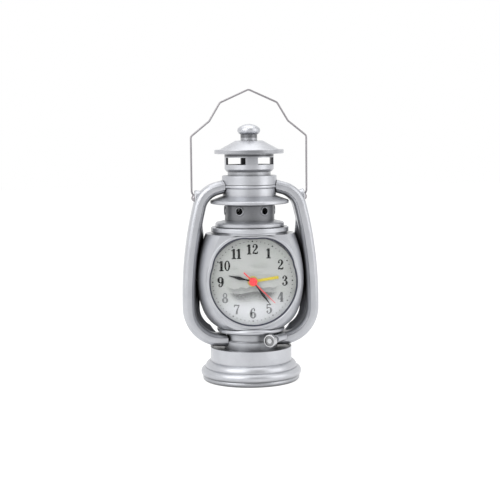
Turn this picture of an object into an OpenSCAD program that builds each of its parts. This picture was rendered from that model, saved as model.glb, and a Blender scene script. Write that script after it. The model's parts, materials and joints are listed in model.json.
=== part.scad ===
// Table alarm clock shaped like a hurricane oil lamp. Millimetres, +Z up, front is -Y.

/* [Base] */
// Outer radius of the drum above the foot
drum_r = 28.1; // [27:0.1:29.2]
// Height of the base up to the rim round its top
base_h = 23; // [22.5:0.1:24]
// Largest radius of the foot's main bead
foot_r = 34.7; // [34:0.1:36]
// Radius of the section of the foot's main bead
foot_bead_r = 3.1; // [2.9:0.1:3.3]
// Height of the centre of the foot's main bead
foot_bead_z = 5.9; // [5.7:0.1:6.2]
// Radius of the lower bead's outer edge
foot_low_r = 33.5; // [33:0.1:34]
// Radius of the section of the lower bead
foot_low_bead_r = 2.2; // [2:0.1:2.4]
// Radius of the round that leads from the bead to the drum
foot_cove_r = 4.3; // [4:0.1:4.5]
// Wall of the base shell
base_wall = 2; // [1.5:0.1:2.4]
// Depth of the ledge inside the top rim
ledge_drop = 0.8; // [0.5:0.1:1.2]
// Width of the top rim
rim_w = 1.3; // [1:0.1:1.8]
// Thickness of the bottom cover
cover_t = 1.6; // [1.2:0.1:2]
// Height of the cover's underside above the table
cover_lift = 0.7; // [0.4:0.1:1]
// Radius of the circle of the cover's screws
cover_screw_pcd_r = 21.5; // [20:0.1:22.5]

/* [Burner] */
// Radius of the lower burner ring
burner_low_r = 18.3; // [17.8:0.1:18.6]
// Height of the lower burner ring above the ledge
burner_low_h = 5.8; // [5.2:0.1:6.2]
// Radius of the upper burner ring
burner_up_r = 16.8; // [16.2:0.1:17.2]
// Height of the upper burner ring
burner_up_h = 5.4; // [5:0.1:6]
// Outer radius of the gallery ring
gallery_r = 23.4; // [22.8:0.1:23.8]
// Height of the gallery ring
gallery_h = 3.9; // [3.6:0.1:4.2]

/* [Side tubes] */
// Half the width across both side tubes
tube_x = 46.9; // [46.5:0.1:47.8]
// Width of a side tube seen from the front
tube_w = 8.7; // [8.3:0.1:9]
// Depth of a side tube
tube_d = 15; // [14:0.1:16]
// Radius of the tube section's corners
tube_round = 3.7; // [3.2:0.1:3.9]
// Width of the raised bead along the tube's front and back
tube_bead_w = 4.2; // [3.6:0.1:4.8]
// Height of that bead
tube_bead_h = 0.6; // [0.4:0.05:0.8]
// Wall of the tube shells
tube_wall = 1.5; // [1.2:0.1:1.8]
// Gap between the base rim and the tubes
tube_lift = 0.7; // [0.5:0.1:1]
// Width by which the rear shells reach further inwards
web_w = 3.3; // [3:0.1:3.6]
// Outer radius of the lower bend
tube_low_r = 26.3; // [25.6:0.1:27]
// Length of the straight stretch above the lower bend
tube_straight = 5; // [4:0.1:6]
// Outer radius of the long side curve
tube_side_r = 270; // [240:1:320]
// Angle of the long side curve in degrees
tube_side_a = 14.2; // [13.5:0.1:14.8]
// Outer radius of the shoulder bend
tube_top_r = 20.7; // [20:0.1:21.4]
// Angle at which the shoulder bend ends
tube_top_a = 75; // [73:0.5:77]

/* [Globe] */
// Largest radius of the globe
globe_r = 36.8; // [36.2:0.1:37.2]
// Height from the globe's bottom to its widest place
globe_low_h = 32.2; // [31.8:0.1:32.8]
// Height from the widest place to the globe's top
globe_up_h = 31.9; // [31.6:0.1:32.6]
// Radius of the curve of the upper side
globe_up_curve = 84; // [80:1:95]
// Radius of the curve just below the widest place
globe_low_curve = 60; // [58:1:64]
// Angle over which that curve runs
globe_low_a = 20; // [18:0.5:22]
// Radius of the round at the bottom
globe_round = 23.3; // [22.8:0.1:23.8]
// Wall of the globe's shells
globe_wall = 2; // [1.6:0.1:2.2]
// Distance from the globe's axis to its flat front
face_y = 21; // [20.7:0.1:21.5]
// Distance from the globe's axis to its flat back
back_y = 22.5; // [22.3:0.1:23]
// Thickness of the flat front
face_t = 1.2; // [1:0.1:1.4]
// Thickness of the flat back
back_t = 1.8; // [1.5:0.1:1.9]

/* [Dial and hands] */
// Radius of the round opening over the dial
opening_r = 30; // [29.6:0.1:30.2]
// Radius of the opening's two upper corner rounds
corner_r = 22.2; // [22:0.1:22.5]
// Sideways place of the corner rounds
corner_x = 6; // [5.6:0.1:6.2]
// Height of the corner rounds above the dial's centre
corner_z = 8; // [7.6:0.1:8.2]
// Width of the seat behind the opening's edge
seat_w = 0.9; // [0.7:0.05:1]
// Thickness of the clear lens
lens_t = 1.2; // [1:0.1:1.4]
// Depth of the hands' space between lens and dial
hand_space = 4; // [3.8:0.1:4.3]
// Thickness of the dial plate
dial_t = 0.6; // [0.5:0.05:0.7]
// Thickness of each hand
hand_t = 0.4; // [0.3:0.05:0.45]
// Distance from one hand's front to the next one's
hand_step = 0.8; // [0.75:0.01:0.85]
// Length of the hour hand
hour_len = 16.9; // [15:0.1:18]
// Width of the hour hand
hour_w = 2.5; // [2:0.1:3]
// Length of the minute hand
minute_len = 19.6; // [18.5:0.1:21]
// Width of the minute hand
minute_w = 1.7; // [1.4:0.1:2.2]
// Length of the second hand
second_len = 21; // [19.5:0.1:23]
// Length of the second hand's tail
second_tail = 9; // [7:0.1:10]
// Width of the second hand
second_w = 0.9; // [0.7:0.05:1.1]
// Radius of the disc in the middle of the second hand
hub_r = 2.8; // [2.4:0.1:3.2]
// Length of the alarm hand
alarm_len = 17.7; // [16:0.1:19]
// Width of the alarm hand
alarm_w = 1.9; // [1.5:0.1:2.2]
// Angle of the hour hand clockwise from twelve
hour_a = 284.7; // [0:0.1:360]
// Angle of the minute hand clockwise from twelve
minute_a = 143.9; // [0:0.1:360]
// Angle of the second hand clockwise from twelve
second_a = 135; // [0:0.1:360]
// Angle of the alarm hand clockwise from twelve
alarm_a = 81.9; // [0:0.1:360]

/* [Chimney and hood] */
// Height of the narrow step under the shoulder ring
shoulder_step_h = 1; // [0.8:0.1:1.3]
// Radius of the shoulder ring
shoulder_r = 26.6; // [26:0.1:27.2]
// Height of the shoulder ring
shoulder_h = 3.4; // [3:0.1:3.8]
// Radius of the ring at the foot of the chimney
chimney_ring_r = 23.6; // [23:0.1:24.2]
// Height of the chimney's foot with its slope
chimney_ring_h = 4.5; // [4:0.1:5]
// Radius of the chimney
chimney_r = 17; // [16.6:0.1:17.3]
// Wall of the chimney
chimney_wall = 2; // [1.6:0.1:2.4]
// Height of the chimney above its foot
chimney_h = 11.3; // [11:0.1:11.8]
// Number of round air holes in the chimney
air_holes = 6; // [4:1:6]
// Radius of an air hole
air_hole_r = 2.3; // [2:0.1:2.4]
// Width of the raised rim round an air hole
air_rim_w = 0.6; // [0.5:0.05:0.7]
// Height of an air hole's centre above the chimney's foot
air_hole_z = 6.7; // [6.3:0.1:7]
// Radius of the hood's skirt
skirt_r = 26.9; // [26.4:0.1:27.1]
// Height of the skirt's edge
skirt_edge_h = 2.4; // [2.1:0.1:2.8]
// Height of the skirt's slope
skirt_slope_h = 3; // [2.6:0.1:3.4]
// Radius of the lower hood drum
hood_low_r = 18.3; // [18:0.1:18.5]
// Height of the lower hood drum
hood_low_h = 5; // [4.7:0.1:5.3]
// Radius of the bead between the two hood drums
hood_bead_r = 19; // [18.9:0.05:19.2]
// Height of that bead
hood_bead_h = 2.6; // [2.4:0.1:2.8]
// Radius of the upper hood drum
hood_up_r = 18.7; // [18.5:0.1:18.8]
// Height of the upper hood drum
hood_up_h = 6.2; // [6:0.1:6.5]
// Radius of the vent crown's foot
crown_foot_r = 14.7; // [14.2:0.1:15]
// Height of the vent crown's foot
crown_foot_h = 2.7; // [2.4:0.1:3]
// Radius of the vent crown
crown_r = 16.8; // [16.4:0.1:17.2]
// Wall of the vent crown
crown_wall = 1.6; // [1.3:0.1:1.9]
// Height of the vent crown below its windows
crown_low_h = 4.7; // [4.3:0.1:5]
// Height of the windows
window_h = 4.8; // [4.4:0.1:5.2]
// Number of windows
windows = 4; // [3:1:6]
// Angle of the post between two windows
post_a = 29; // [24:1:34]
// Height of the vent crown above its windows
crown_top_h = 2.5; // [2:0.1:3]
// Radius of the cap's brim
brim_r = 23.7; // [23:0.1:24.3]
// Thickness of the cap's brim
brim_h = 2.9; // [2.5:0.1:3.2]
// Radius of the cap's slope where it meets the brim
slope_r = 20.4; // [19.8:0.1:21]
// Height of the slope
slope_h = 6; // [5.5:0.1:6.5]
// Radius of the flat on top of the slope
slope_top_r = 9.2; // [8.8:0.1:9.8]
// Radius of the knob on top
finial_r = 7.8; // [7.5:0.1:8.1]
// Radius of the section of the knob's rounded edge
finial_edge_r = 2.6; // [2.3:0.1:2.9]
// Half the height of the knob's head
finial_half_h = 4.4; // [4.2:0.1:4.8]
// Radius of the neck below the knob
finial_neck_r = 5.7; // [5.3:0.1:6]
// Height of the middle of the knob's head above the cap
finial_up = 6.9; // [6.6:0.1:7.2]

/* [Bail] */
// Thickness of the bail's wire
wire_d = 1.3; // [1.1:0.05:1.4]
// Half the width between the bail's legs
bail_x = 39.6; // [39.5:0.1:40]
// Height of the bail's shoulders above its pivot
bail_leg = 41.8; // [40:0.1:43]
// Half the width where the shoulders end
bail_mid_x = 27; // [26:0.1:28]
// Height where the shoulders end
bail_mid_z = 52; // [51:0.1:53]
// Half the width of the second bend
bail_high_x = 19.5; // [18:0.1:21]
// Height of the second bend
bail_high_z = 64.5; // [63:0.1:66]
// Height of the bail's peak above its pivot
bail_peak = 73.3; // [72:0.1:75]
// Bend radius of the wire
wire_bend = 2.5; // [2:0.1:3]
// Height of the pivots above the globe's widest place
ear_up = 56.2; // [55.8:0.1:56.6]
// Radius of an ear at its face
ear_r = 5.6; // [5.3:0.1:5.8]
// Radius of an ear at its root
ear_root_r = 4.4; // [4:0.1:4.8]
// Depth of an ear's root inside the tube's shoulder
ear_sink = 5.5; // [5.2:0.1:5.8]
// Half the width between the balls at the bail's ends
ball_x = 37.5; // [37.3:0.1:37.6]
// Radius of a ball
ball_r = 2.4; // [2.2:0.1:2.5]
// Radius of the pin on a ball
pin_r = 0.8; // [0.6:0.05:1]
// Length of the pin
pin_h = 2.6; // [2:0.1:2.8]
// Height over which the wire leans in to its ball
wire_lean_h = 4; // [3.8:0.1:4.6]

/* [Wick knob] */
// Sideways place of the centre of the knob's face
knob_x = 9.6; // [9.4:0.1:10.2]
// Distance of the centre of the knob's face in front of the axis
knob_y = 25.5; // [25.3:0.1:26.2]
// Height of the knob's axis above the ledge
knob_up = 7.8; // [7.6:0.1:8]
// Angle of the knob's axis to the left of straight ahead
knob_a = 35; // [33:0.5:37]
// Radius of the knob
knob_r = 4.4; // [4.1:0.1:4.5]
// Length of the knob's grip
knob_grip = 3.4; // [3:0.1:3.6]
// Radius of the knob's spindle
spindle_r = 1.3; // [1.1:0.05:1.5]
// Radius of the boss that carries the spindle
boss_r = 2.9; // [2.7:0.1:3]
// Distance from the knob's face to the boss
boss_at = 8.5; // [8:0.1:9]

/* [Movement] */
// Width and height of the movement's case
case_w = 48; // [47.6:0.1:48.6]
// Radius that rounds off the case's corners
case_round_r = 30.5; // [30.4:0.1:30.8]
// Wall of the case
case_wall = 1.4; // [1.2:0.1:1.5]
// Thickness of the movement's front plate
plate_t = 1.2; // [1:0.05:1.25]
// Module of the going train's fine teeth
fine_m = 0.35; // [0.34:0.005:0.355]
// Module of the coarser teeth of hands and setting
set_m = 0.4; // [0.395:0.005:0.405]
// Radius of the thin arbors
arbor_r = 0.5; // [0.45:0.01:0.55]
// Radius of the setting shafts
stem_r = 1.2; // [1.1:0.05:1.25]
// Radius of the setting knobs
set_knob_r = 5; // [4.6:0.1:5.6]
// Height of the setting knobs
set_knob_h = 5.5; // [5:0.1:6.5]
// Radius of the battery
cell_r = 7.25; // [7:0.05:7.25]
// Length of the battery's body
cell_len = 49.5; // [49:0.1:49.6]
// Length of the battery's nub
cell_nub_h = 1; // [0.8:0.1:1.1]
// Radius of the coil
coil_r = 2.1; // [1.8:0.1:2.1]
// Radius of the buzzer
buzzer_r = 6.5; // [6:0.1:6.8]
// Height of the buzzer
buzzer_h = 4; // [3.5:0.1:4.5]
// Travel of the alarm switch
switch_travel = 4; // [3:0.1:4.5]
// Radius of the case screws
screw_r = 0.8; // [0.7:0.05:0.85]

/* [Fits] */
// Gap where two fixed pieces seat on each other
seat_gap = 0.05; // [0.03:0.01:0.08]
// Radial clearance of a turning fit
run_gap = 0.05; // [0.03:0.01:0.07]
// Radial clearance between a pressed piece and its bore
press_gap = 0.02; // [0.01:0.01:0.03]
// Side clearance of the sliding and lift-off pieces
slide_gap = 0.2; // [0.15:0.01:0.25]
// Gap between the globe and the tubes' rear shells
web_gap = 0.5; // [0.4:0.05:0.6]

/* [Hidden] */
$fn = 64;
eps = 0.01;
big = 200;

silver = [0.74, 0.75, 0.77];
steel = [0.62, 0.63, 0.64];
brass = [0.80, 0.66, 0.36];
plastic = [0.92, 0.91, 0.87];
nylon = [0.95, 0.95, 0.93];

ledge_z = base_h - ledge_drop;
burner_mid_z = ledge_z + burner_low_h;
gallery_z = burner_mid_z + burner_up_h;
globe_z = gallery_z + gallery_h;
dial_z = globe_z + globe_low_h;
globe_top = dial_z + globe_up_h;
shoulder_z = globe_top + shoulder_step_h;
chimney_z = shoulder_z + shoulder_h;
chimney_neck_z = chimney_z + chimney_ring_h;
skirt_z = chimney_neck_z + chimney_h;
skirt_slope_z = skirt_z + skirt_edge_h;
hood_low_z = skirt_slope_z + skirt_slope_h;
hood_bead_z = hood_low_z + hood_low_h;
hood_up_z = hood_bead_z + hood_bead_h;
crown_z = hood_up_z + hood_up_h;
crown_low_z = crown_z + crown_foot_h;
window_z = crown_low_z + crown_low_h;
crown_top_z = window_z + window_h;
cap_z = crown_top_z + crown_top_h;
slope_z = cap_z + brim_h;
finial_z = slope_z + slope_h;
finial_head_z = finial_z + finial_up;
spigot_h = 1.5;

// Fronts of the layers behind the dial, as distances in front of the lamp's axis
wheel_t = 1;
thin_wheel_t = 0.8;
wheel_step = 1.3;
thin_step = 1.15;
lens_w = face_y - face_t;
lens_back_w = lens_w - lens_t;
dial_w = lens_back_w - hand_space;
plate_w = dial_w - dial_t - 2 * seat_gap;
plate_back_w = plate_w - plate_t;
alarm_wheel_w = plate_back_w - wheel_step;
hour_wheel_w = alarm_wheel_w - wheel_step;
minute_wheel_w = hour_wheel_w - wheel_step;
centre_wheel_w = minute_wheel_w - thin_step;
bridge_w = centre_wheel_w - thin_step;
third_wheel_w = bridge_w - thin_step;
second_wheel_w = third_wheel_w - thin_step;
inter_wheel_w = second_wheel_w - wheel_step;
stator_t = 1;
stator_w = inter_wheel_w - stator_t - 0.9;
case_floor_w = stator_w - stator_t - slide_gap;
case_back_w = case_floor_w - case_wall;
bearing_w = case_back_w + 0.4;
arbor_end_w = bearing_w + 0.1;
alarm_front_w = dial_w + 2 * slide_gap + hand_t;
hour_front_w = alarm_front_w + hand_step;
minute_front_w = hour_front_w + hand_step;
second_front_w = minute_front_w + hand_step;

// Radii of the nested tubes behind the hands
second_arbor_r = 0.6;
tube_t = 0.7;
minute_in_r = second_arbor_r + run_gap;
minute_out_r = minute_in_r + tube_t;
hour_in_r = minute_out_r + run_gap;
hour_out_r = hour_in_r + tube_t;
alarm_in_r = hour_out_r + run_gap;
alarm_out_r = alarm_in_r + tube_t;
hub_wall = 0.7;

// Teeth of the wheels and places of their axes from the dial's centre
rotor_teeth = 8;
inter_teeth = 40;
inter_pinion = 8;
second_teeth = 48;
second_pinion = 8;
third_teeth = 64;
third_pinion = 8;
centre_teeth = 60;
cannon_teeth = 12;
minute_teeth = 36;
minute_pinion_teeth = 10;
hour_teeth = 40;
alarm_teeth = 40;
alarm_pinion_teeth = 26;
time_pinion_teeth = 12;

inter_dir = 45;
rotor_dir = -35;
third_dir = -45;
minute_dir = 150;
time_dir = 90;
alarm_dir = -130;

function polar(r, a) = r * [cos(a), sin(a)];
function centres(m, a, b) = m * (a + b) / 2;
inter_pos = polar(centres(fine_m, second_teeth, inter_pinion), inter_dir);
rotor_pos = inter_pos + polar(centres(fine_m, inter_teeth, rotor_teeth), rotor_dir);
third_span = centres(fine_m, second_pinion, third_teeth);
third_pos = polar(third_span, third_dir);
centre_m = 2 * third_span / (centre_teeth + third_pinion);
minute_span = centres(set_m, cannon_teeth, minute_teeth);
minute_pos = polar(minute_span, minute_dir);
hour_m = 2 * minute_span / (hour_teeth + minute_pinion_teeth);
time_pos = minute_pos + polar(centres(set_m, minute_teeth, time_pinion_teeth), time_dir);
alarm_pos = polar(centres(set_m, alarm_teeth, alarm_pinion_teeth), alarm_dir);

// Turn of a wheel that meshes with a wheel of z1 teeth turned by p1, lying at direction d from it
function mate(d, p1, z1, z2) = d + 180 - 360 / z2 * (0.5 - (d - p1) * z1 / 360);

// Outline of a toothed wheel: straight-flanked teeth, thinner at the tip
tooth_root = 0.27;
tooth_tip = 0.1;
addendum = 0.75;
dedendum = 1.15;
function tooth_outline(z, m) = [
    for (i = [0 : z - 1])
        for (q = [
            [-tooth_root, -dedendum], [-tooth_tip, addendum], [tooth_tip, addendum], [tooth_root, -dedendum]
        ])
            polar(m * (z / 2 + q[1]), 360 / z * (i + q[0]))
];

module ring(r_out, r_in, h) {
    difference() {
        cylinder(r = r_out, h = h);
        translate([0, 0, -1]) cylinder(r = r_in, h = h + 2);
    }
}

// Places children drawn as x, height and distance to the front
module in_face() {
    translate([0, 0, dial_z]) rotate([90, 0, 0]) children();
}

module at(pos, w) {
    translate([pos[0], pos[1], w]) children();
}

module gear(z, m, t, turn) {
    rotate([0, 0, turn]) linear_extrude(t) polygon(tooth_outline(z, m));
}

// Base and burner

foot_cut = 0.3;
cove_in = 0.8;
cove_up = 0.2;
cover_r = drum_r - base_wall + 2.5;
cover_top_z = cover_lift + cover_t;
cover_screw_r = 1;
cover_head_r = 2;
cover_head_h = 0.6;
cover_screws = 3;
burner_wall = 2.8;
spout_r = burner_up_r - 2 * burner_wall;

module foot_profile() {
    intersection() {
        union() {
            square([drum_r, base_h]);
            square([foot_r - foot_bead_r, foot_bead_z + foot_bead_r]);
            translate([foot_r - foot_bead_r, foot_bead_z]) circle(r = foot_bead_r);
            square([foot_low_r - foot_low_bead_r, 2 * foot_low_bead_r - foot_cut]);
            translate([foot_low_r - foot_low_bead_r, foot_low_bead_r - foot_cut]) circle(r = foot_low_bead_r);
            translate([drum_r - cove_in, foot_bead_z + foot_bead_r + cove_up]) circle(r = foot_cove_r);
        }
        square([big, base_h]);
    }
}

module at_cover_screws() {
    for (i = [0 : cover_screws - 1]) rotate([0, 0, 360 / cover_screws * i + 30])
        translate([cover_screw_pcd_r, 0, 0]) children();
}

module base_shell() color(silver) {
    boss_wall = 1.4;
    difference() {
        rotate_extrude() foot_profile();
        translate([0, 0, ledge_z]) cylinder(r = drum_r - rim_w, h = base_h);
        translate([0, 0, -1]) cylinder(r = drum_r - base_wall, h = ledge_z - base_wall + 1);
        translate([0, 0, -1]) cylinder(r = cover_r + slide_gap, h = cover_top_z + 1);
        cylinder(r = burner_up_r - burner_wall + seat_gap, h = base_h);
    }
    at_cover_screws() translate([0, 0, cover_top_z + seat_gap]) difference() {
        cylinder(r = cover_screw_r + boss_wall, h = ledge_z - base_wall - cover_top_z);
        translate([0, 0, -1]) cylinder(r = cover_screw_r + press_gap, h = 9);
    }
}

module base_cover() color(silver) {
    difference() {
        translate([0, 0, cover_lift]) cylinder(r = cover_r, h = cover_t);
        at_cover_screws() cylinder(r = cover_screw_r + slide_gap, h = cover_top_z + 1);
    }
}

module base_screws() color(steel) {
    head_z = cover_lift - seat_gap - cover_head_h;
    slot_w = 0.5;
    slot_h = 0.3;
    at_cover_screws() {
        difference() {
            translate([0, 0, head_z]) cylinder(r = cover_head_r, h = cover_head_h);
            translate([-slot_w / 2, -cover_head_r - 1, head_z - 1])
                cube([slot_w, 2 * cover_head_r + 2, slot_h + 1]);
        }
        translate([0, 0, head_z + slot_h + eps]) cylinder(r = cover_screw_r, h = 7);
    }
}

module burner_collar() color(silver) {
    groove_r = 0.6;
    rotate_extrude() difference() {
        union() {
            translate([0, ledge_z]) square([burner_low_r, burner_low_h]);
            translate([0, burner_mid_z - eps]) square([burner_up_r, burner_up_h + eps]);
            translate([0, ledge_z - spigot_h]) square([burner_up_r - burner_wall, spigot_h + 1]);
        }
        translate([-1, 0]) square([spout_r + 1, big]);
        translate([burner_low_r, burner_mid_z]) circle(r = groove_r);
    }
}

module gallery_ring() color(silver) {
    edge = gallery_h / 2;
    wall = 3;
    rotate_extrude() difference() {
        union() {
            translate([0, gallery_z]) square([gallery_r - edge, gallery_h]);
            translate([gallery_r - edge, gallery_z + edge]) circle(r = edge);
            translate([0, gallery_z - spigot_h]) square([spout_r - seat_gap, 2 * spigot_h + gallery_h]);
        }
        translate([-1, 0]) square([spout_r - wall + 1, big]);
    }
}

// Side tubes: the half section of a hollow moulding, carried along one path

tube_low_c = [tube_x - tube_low_r, base_h + tube_lift + tube_low_r];
tube_side_c = [tube_x - tube_side_r, tube_low_c[1] + tube_straight];
tube_top_c = tube_side_c + polar(tube_side_r - tube_top_r, tube_side_a);

// Points along an arc about c from angle a to angle b, in n steps
function arc_pts(c, r, a, b, n) = [for (i = [0 : n]) c + polar(r, a + (b - a) * i / n)];

// Outside of half a section: a flank, a corner round that ends at the foot of the bead, and the bead
function section_outer() = let (
    half_w = tube_w / 2, half_d = tube_d / 2, r = tube_round,
    bead = tube_bead_w / 2, top = half_d + tube_bead_h, edge = tube_bead_h,
    meet_a = acos((bead - half_w + r) / r)
) concat(
    [[half_w, 0]],
    arc_pts([half_w - r, half_d - r], r, 0, meet_a, 5),
    [[bead - 0.25 * edge, top - 0.3 * edge], [bead - edge, top]],
    [[-bead + edge, top], [-bead + 0.25 * edge, top - 0.3 * edge]],
    arc_pts([-half_w + r, half_d - r], r, 180 - meet_a, 180, 5),
    [[-half_w, 0]]
);

// Inside of half a section, with as many points as the outside, in the opposite order
function section_inner() = let (
    half_w = tube_w / 2 - tube_wall, half_d = tube_d / 2 - tube_wall, r = tube_round - tube_wall
) concat(
    [[-half_w, 0]],
    arc_pts([-half_w + r, half_d - r], r, 180, 90, 4),
    [for (i = [0 : 5]) [(half_w - r) * (i - 2.5) / 3, half_d]],
    arc_pts([half_w - r, half_d - r], r, 90, 0, 4),
    [[half_w, 0]]
);

tube_section = concat(section_outer(), section_inner());

function tube_stations() = concat(
    [for (a = [-90 : 10 : 0]) [tube_low_c, tube_low_r, a]],
    [for (i = [0 : 8]) [tube_side_c, tube_side_r, tube_side_a * i / 8]],
    [for (i = [1 : 9]) [tube_top_c, tube_top_r, tube_side_a + (tube_top_a - tube_side_a) * i / 9]]
);

// Room between a point beside the globe and the globe's outline
function globe_room(p) = let (r = p[1] > dial_z ? globe_up_curve : globe_low_curve)
    norm(p - [globe_r - r, dial_z]) - r;

// Width by which a rear shell reaches further inwards at point p of its inner edge, fading towards the top
web_fade_h = 12;
function web(p) =
    min(web_w, max(0, globe_room(p) - web_gap)) * min(1, max(0, (chimney_neck_z - p[1]) / web_fade_h));

// Share of that width which a section's point takes: none up to the bead's foot, all at the flank
function web_share(q) =
    q[1] > 0 ? min(1, max(0, (-q[0] - tube_bead_w / 2) / (0.4 * tube_w - tube_bead_w / 2))) : 0;

function station_point(s, q, side) = let (
    reach = side < 0 ? web_share(q) * web(s[0] + polar(s[1] - tube_w, s[2])) : 0,
    r = s[1] - tube_w / 2 + q[0] - reach
) [s[0][0] + r * cos(s[2]), -side * q[1], s[0][1] + r * sin(s[2])];

// End of the path: each point runs on along the tube until it meets a drum of radius r
function butt_point(p, a, r) = let (t = (p[0] - sqrt(r * r - p[1] * p[1])) / abs(sin(a)))
    [p[0] - t * abs(sin(a)), p[1], p[2] + t * cos(a)];

function tube_points(side) = let (list = tube_stations(), last = len(list) - 1) concat(
    [for (q = tube_section) butt_point(station_point(list[0], q, side), -90, burner_low_r + seat_gap)],
    [for (s = list) for (q = tube_section) station_point(s, q, side)],
    [for (q = tube_section)
        butt_point(station_point(list[last], q, side), tube_top_a, hood_bead_r + seat_gap)]
);

function flip(f, side) = side > 0 ? f : [f[2], f[1], f[0]];

// Triangles round a loft of rings with n points, and its two ends as strips across the ring
function loft_faces(n, rings, side) = concat(
    [for (s = [0 : rings - 2]) for (i = [0 : n - 1]) let (a = s * n + i, b = s * n + (i + 1) % n)
        each [flip([a, b, b + n], side), flip([a, b + n, a + n], side)]],
    [for (i = [0 : n / 2 - 2]) let (j = n - 1 - i, e = (rings - 1) * n) each [
        flip([i + 1, i, j], side), flip([i + 1, j, j - 1], side),
        flip([e + i, e + i + 1, e + j], side), flip([e + i + 1, e + j - 1, e + j], side)
    ]]
);

module tube_shell(side) {
    polyhedron(tube_points(side), loft_faces(len(tube_section), len(tube_stations()) + 2, side));
}

ear_z = dial_z + ear_up;
ear_root_x = tube_top_c[0] + sqrt(pow(tube_top_r, 2) - pow(ear_z - tube_top_c[1], 2)) - ear_sink;
ear_face_x = ball_x + slide_gap;
pin_x = ball_x - ball_r - pin_h;

// A boss that widens outwards, from inside the tube's shoulder to its flat face
module ear() {
    edge = 0.8;
    len = ear_face_x - ear_root_x;
    translate([ear_root_x, 0, ear_z]) rotate([0, 90, 0]) rotate_extrude()
        polygon([[0, 0], [ear_root_r, 0], [ear_r, len - edge], [ear_r - edge, len], [0, len]]);
}

// Socket of the bail's ball, and the bore of its pin
module ear_bore() {
    translate([ball_x, 0, ear_z]) rotate([90, 0, 0]) sphere(r = ball_r + slide_gap);
    translate([pin_x - slide_gap, 0, ear_z]) rotate([0, 90, 0])
        cylinder(r = pin_r + run_gap, h = ball_x - pin_x);
}

knob_z = ledge_z + knob_up;

// Places children with the knob's face in the plane z = 0 and its spindle along +z
module on_knob() {
    translate([knob_x, -knob_y, knob_z]) rotate([0, 0, -knob_a]) rotate([-90, 0, 0]) children();
}

boss_end = 21;

module half_tube(side) {
    difference() {
        union() {
            tube_shell(side);
            intersection() {
                ear();
                translate([0, side > 0 ? -big : 0, 0]) cube([big, big, big]);
            }
        }
        ear_bore();
    }
}

module tube_left_front() color(silver) mirror([1, 0, 0]) half_tube(1);
module tube_left_rear() color(silver) mirror([1, 0, 0]) half_tube(-1);
module tube_right_rear() color(silver) half_tube(-1);
module tube_right_front() color(silver) {
    difference() {
        union() {
            half_tube(1);
            on_knob() translate([0, 0, boss_at]) cylinder(r = boss_r, h = boss_end - boss_at);
        }
        on_knob() translate([0, 0, boss_at - 1]) cylinder(r = spindle_r + run_gap, h = 9.5);
    }
}

module wick_knob() color([0.80, 0.81, 0.83]) on_knob() {
    rotate_extrude() difference() {
        union() {
            translate([0, 0.4]) square([knob_r, knob_grip - 0.8]);
            square([knob_r - 0.4, knob_grip]);
            translate([knob_r - 0.4, 0.4]) circle(r = 0.4);
            translate([knob_r - 0.4, knob_grip - 0.4]) circle(r = 0.4);
            translate([0, knob_grip - eps]) square([boss_r, 1.8]);
            square([spindle_r, boss_at + 8]);
        }
        translate([1.7, -1]) square([knob_r - 2.6, 1.7]);
        translate([-1, -1]) square([2.71, 1.3]);
        translate([-20, -20]) square([20, 60]);
    }
}

// Globe

globe_low_c = [globe_r - globe_low_curve, dial_z];
globe_round_c = globe_low_c + (globe_low_curve - globe_round) * [cos(globe_low_a), -sin(globe_low_a)];

module globe_profile(inset) {
    split_z = dial_z - (globe_low_curve - inset) * sin(globe_low_a);
    intersection() {
        translate([globe_r - globe_up_curve, dial_z]) circle(r = globe_up_curve - inset, $fn = 180);
        translate([0, dial_z]) square([globe_r, globe_up_h - inset]);
    }
    intersection() {
        translate(globe_low_c) circle(r = globe_low_curve - inset, $fn = 180);
        translate([0, split_z]) square([globe_r, dial_z - split_z]);
    }
    intersection() {
        translate(globe_round_c) circle(r = globe_round - inset, $fn = 180);
        translate([0, globe_z + inset]) square([globe_r, split_z - globe_z - inset]);
    }
}

// The globe's rear half as a part turn, run on past the parting plane by an angle
module globe_part(inset, more) {
    rotate([0, 0, -more]) rotate_extrude(angle = 180 + 2 * more) globe_profile(inset);
}

module opening_shape(grow) {
    circle(r = opening_r + grow);
    for (s = [-1, 1]) translate([s * corner_x, corner_z]) circle(r = corner_r + grow);
}

globe_neck_r = chimney_r - 2;
well_wall = 2.2;
drum_in_w = 10;

module globe_front() color(silver) {
    well_r = opening_r + well_wall;
    difference() {
        union() {
            intersection() {
                difference() {
                    union() {
                        rotate_extrude() globe_profile(0);
                        in_face() translate([0, 0, drum_in_w]) cylinder(r = well_r, h = face_y - drum_in_w);
                    }
                    intersection() {
                        rotate_extrude() globe_profile(globe_wall);
                        translate([-big / 2, -lens_w, 0]) cube([big, big, big]);
                    }
                }
                translate([-big / 2, -face_y, globe_z]) cube([big, face_y, globe_top - globe_z]);
            }
            intersection() {
                in_face() translate([0, 0, drum_in_w]) cylinder(r = well_r, h = lens_w - drum_in_w);
                translate([-big / 2, -face_y, globe_z]) cube([big, face_y, globe_top - globe_z]);
            }
        }
        in_face() linear_extrude(lens_w) opening_shape(seat_w);
        in_face() linear_extrude(face_y + 1) opening_shape(0);
        translate([0, 0, globe_z - 1]) cylinder(r = spout_r, h = globe_wall + 2);
        translate([0, 0, globe_top - globe_wall - 1]) cylinder(r = globe_neck_r, h = globe_wall + 2);
    }
}

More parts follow.
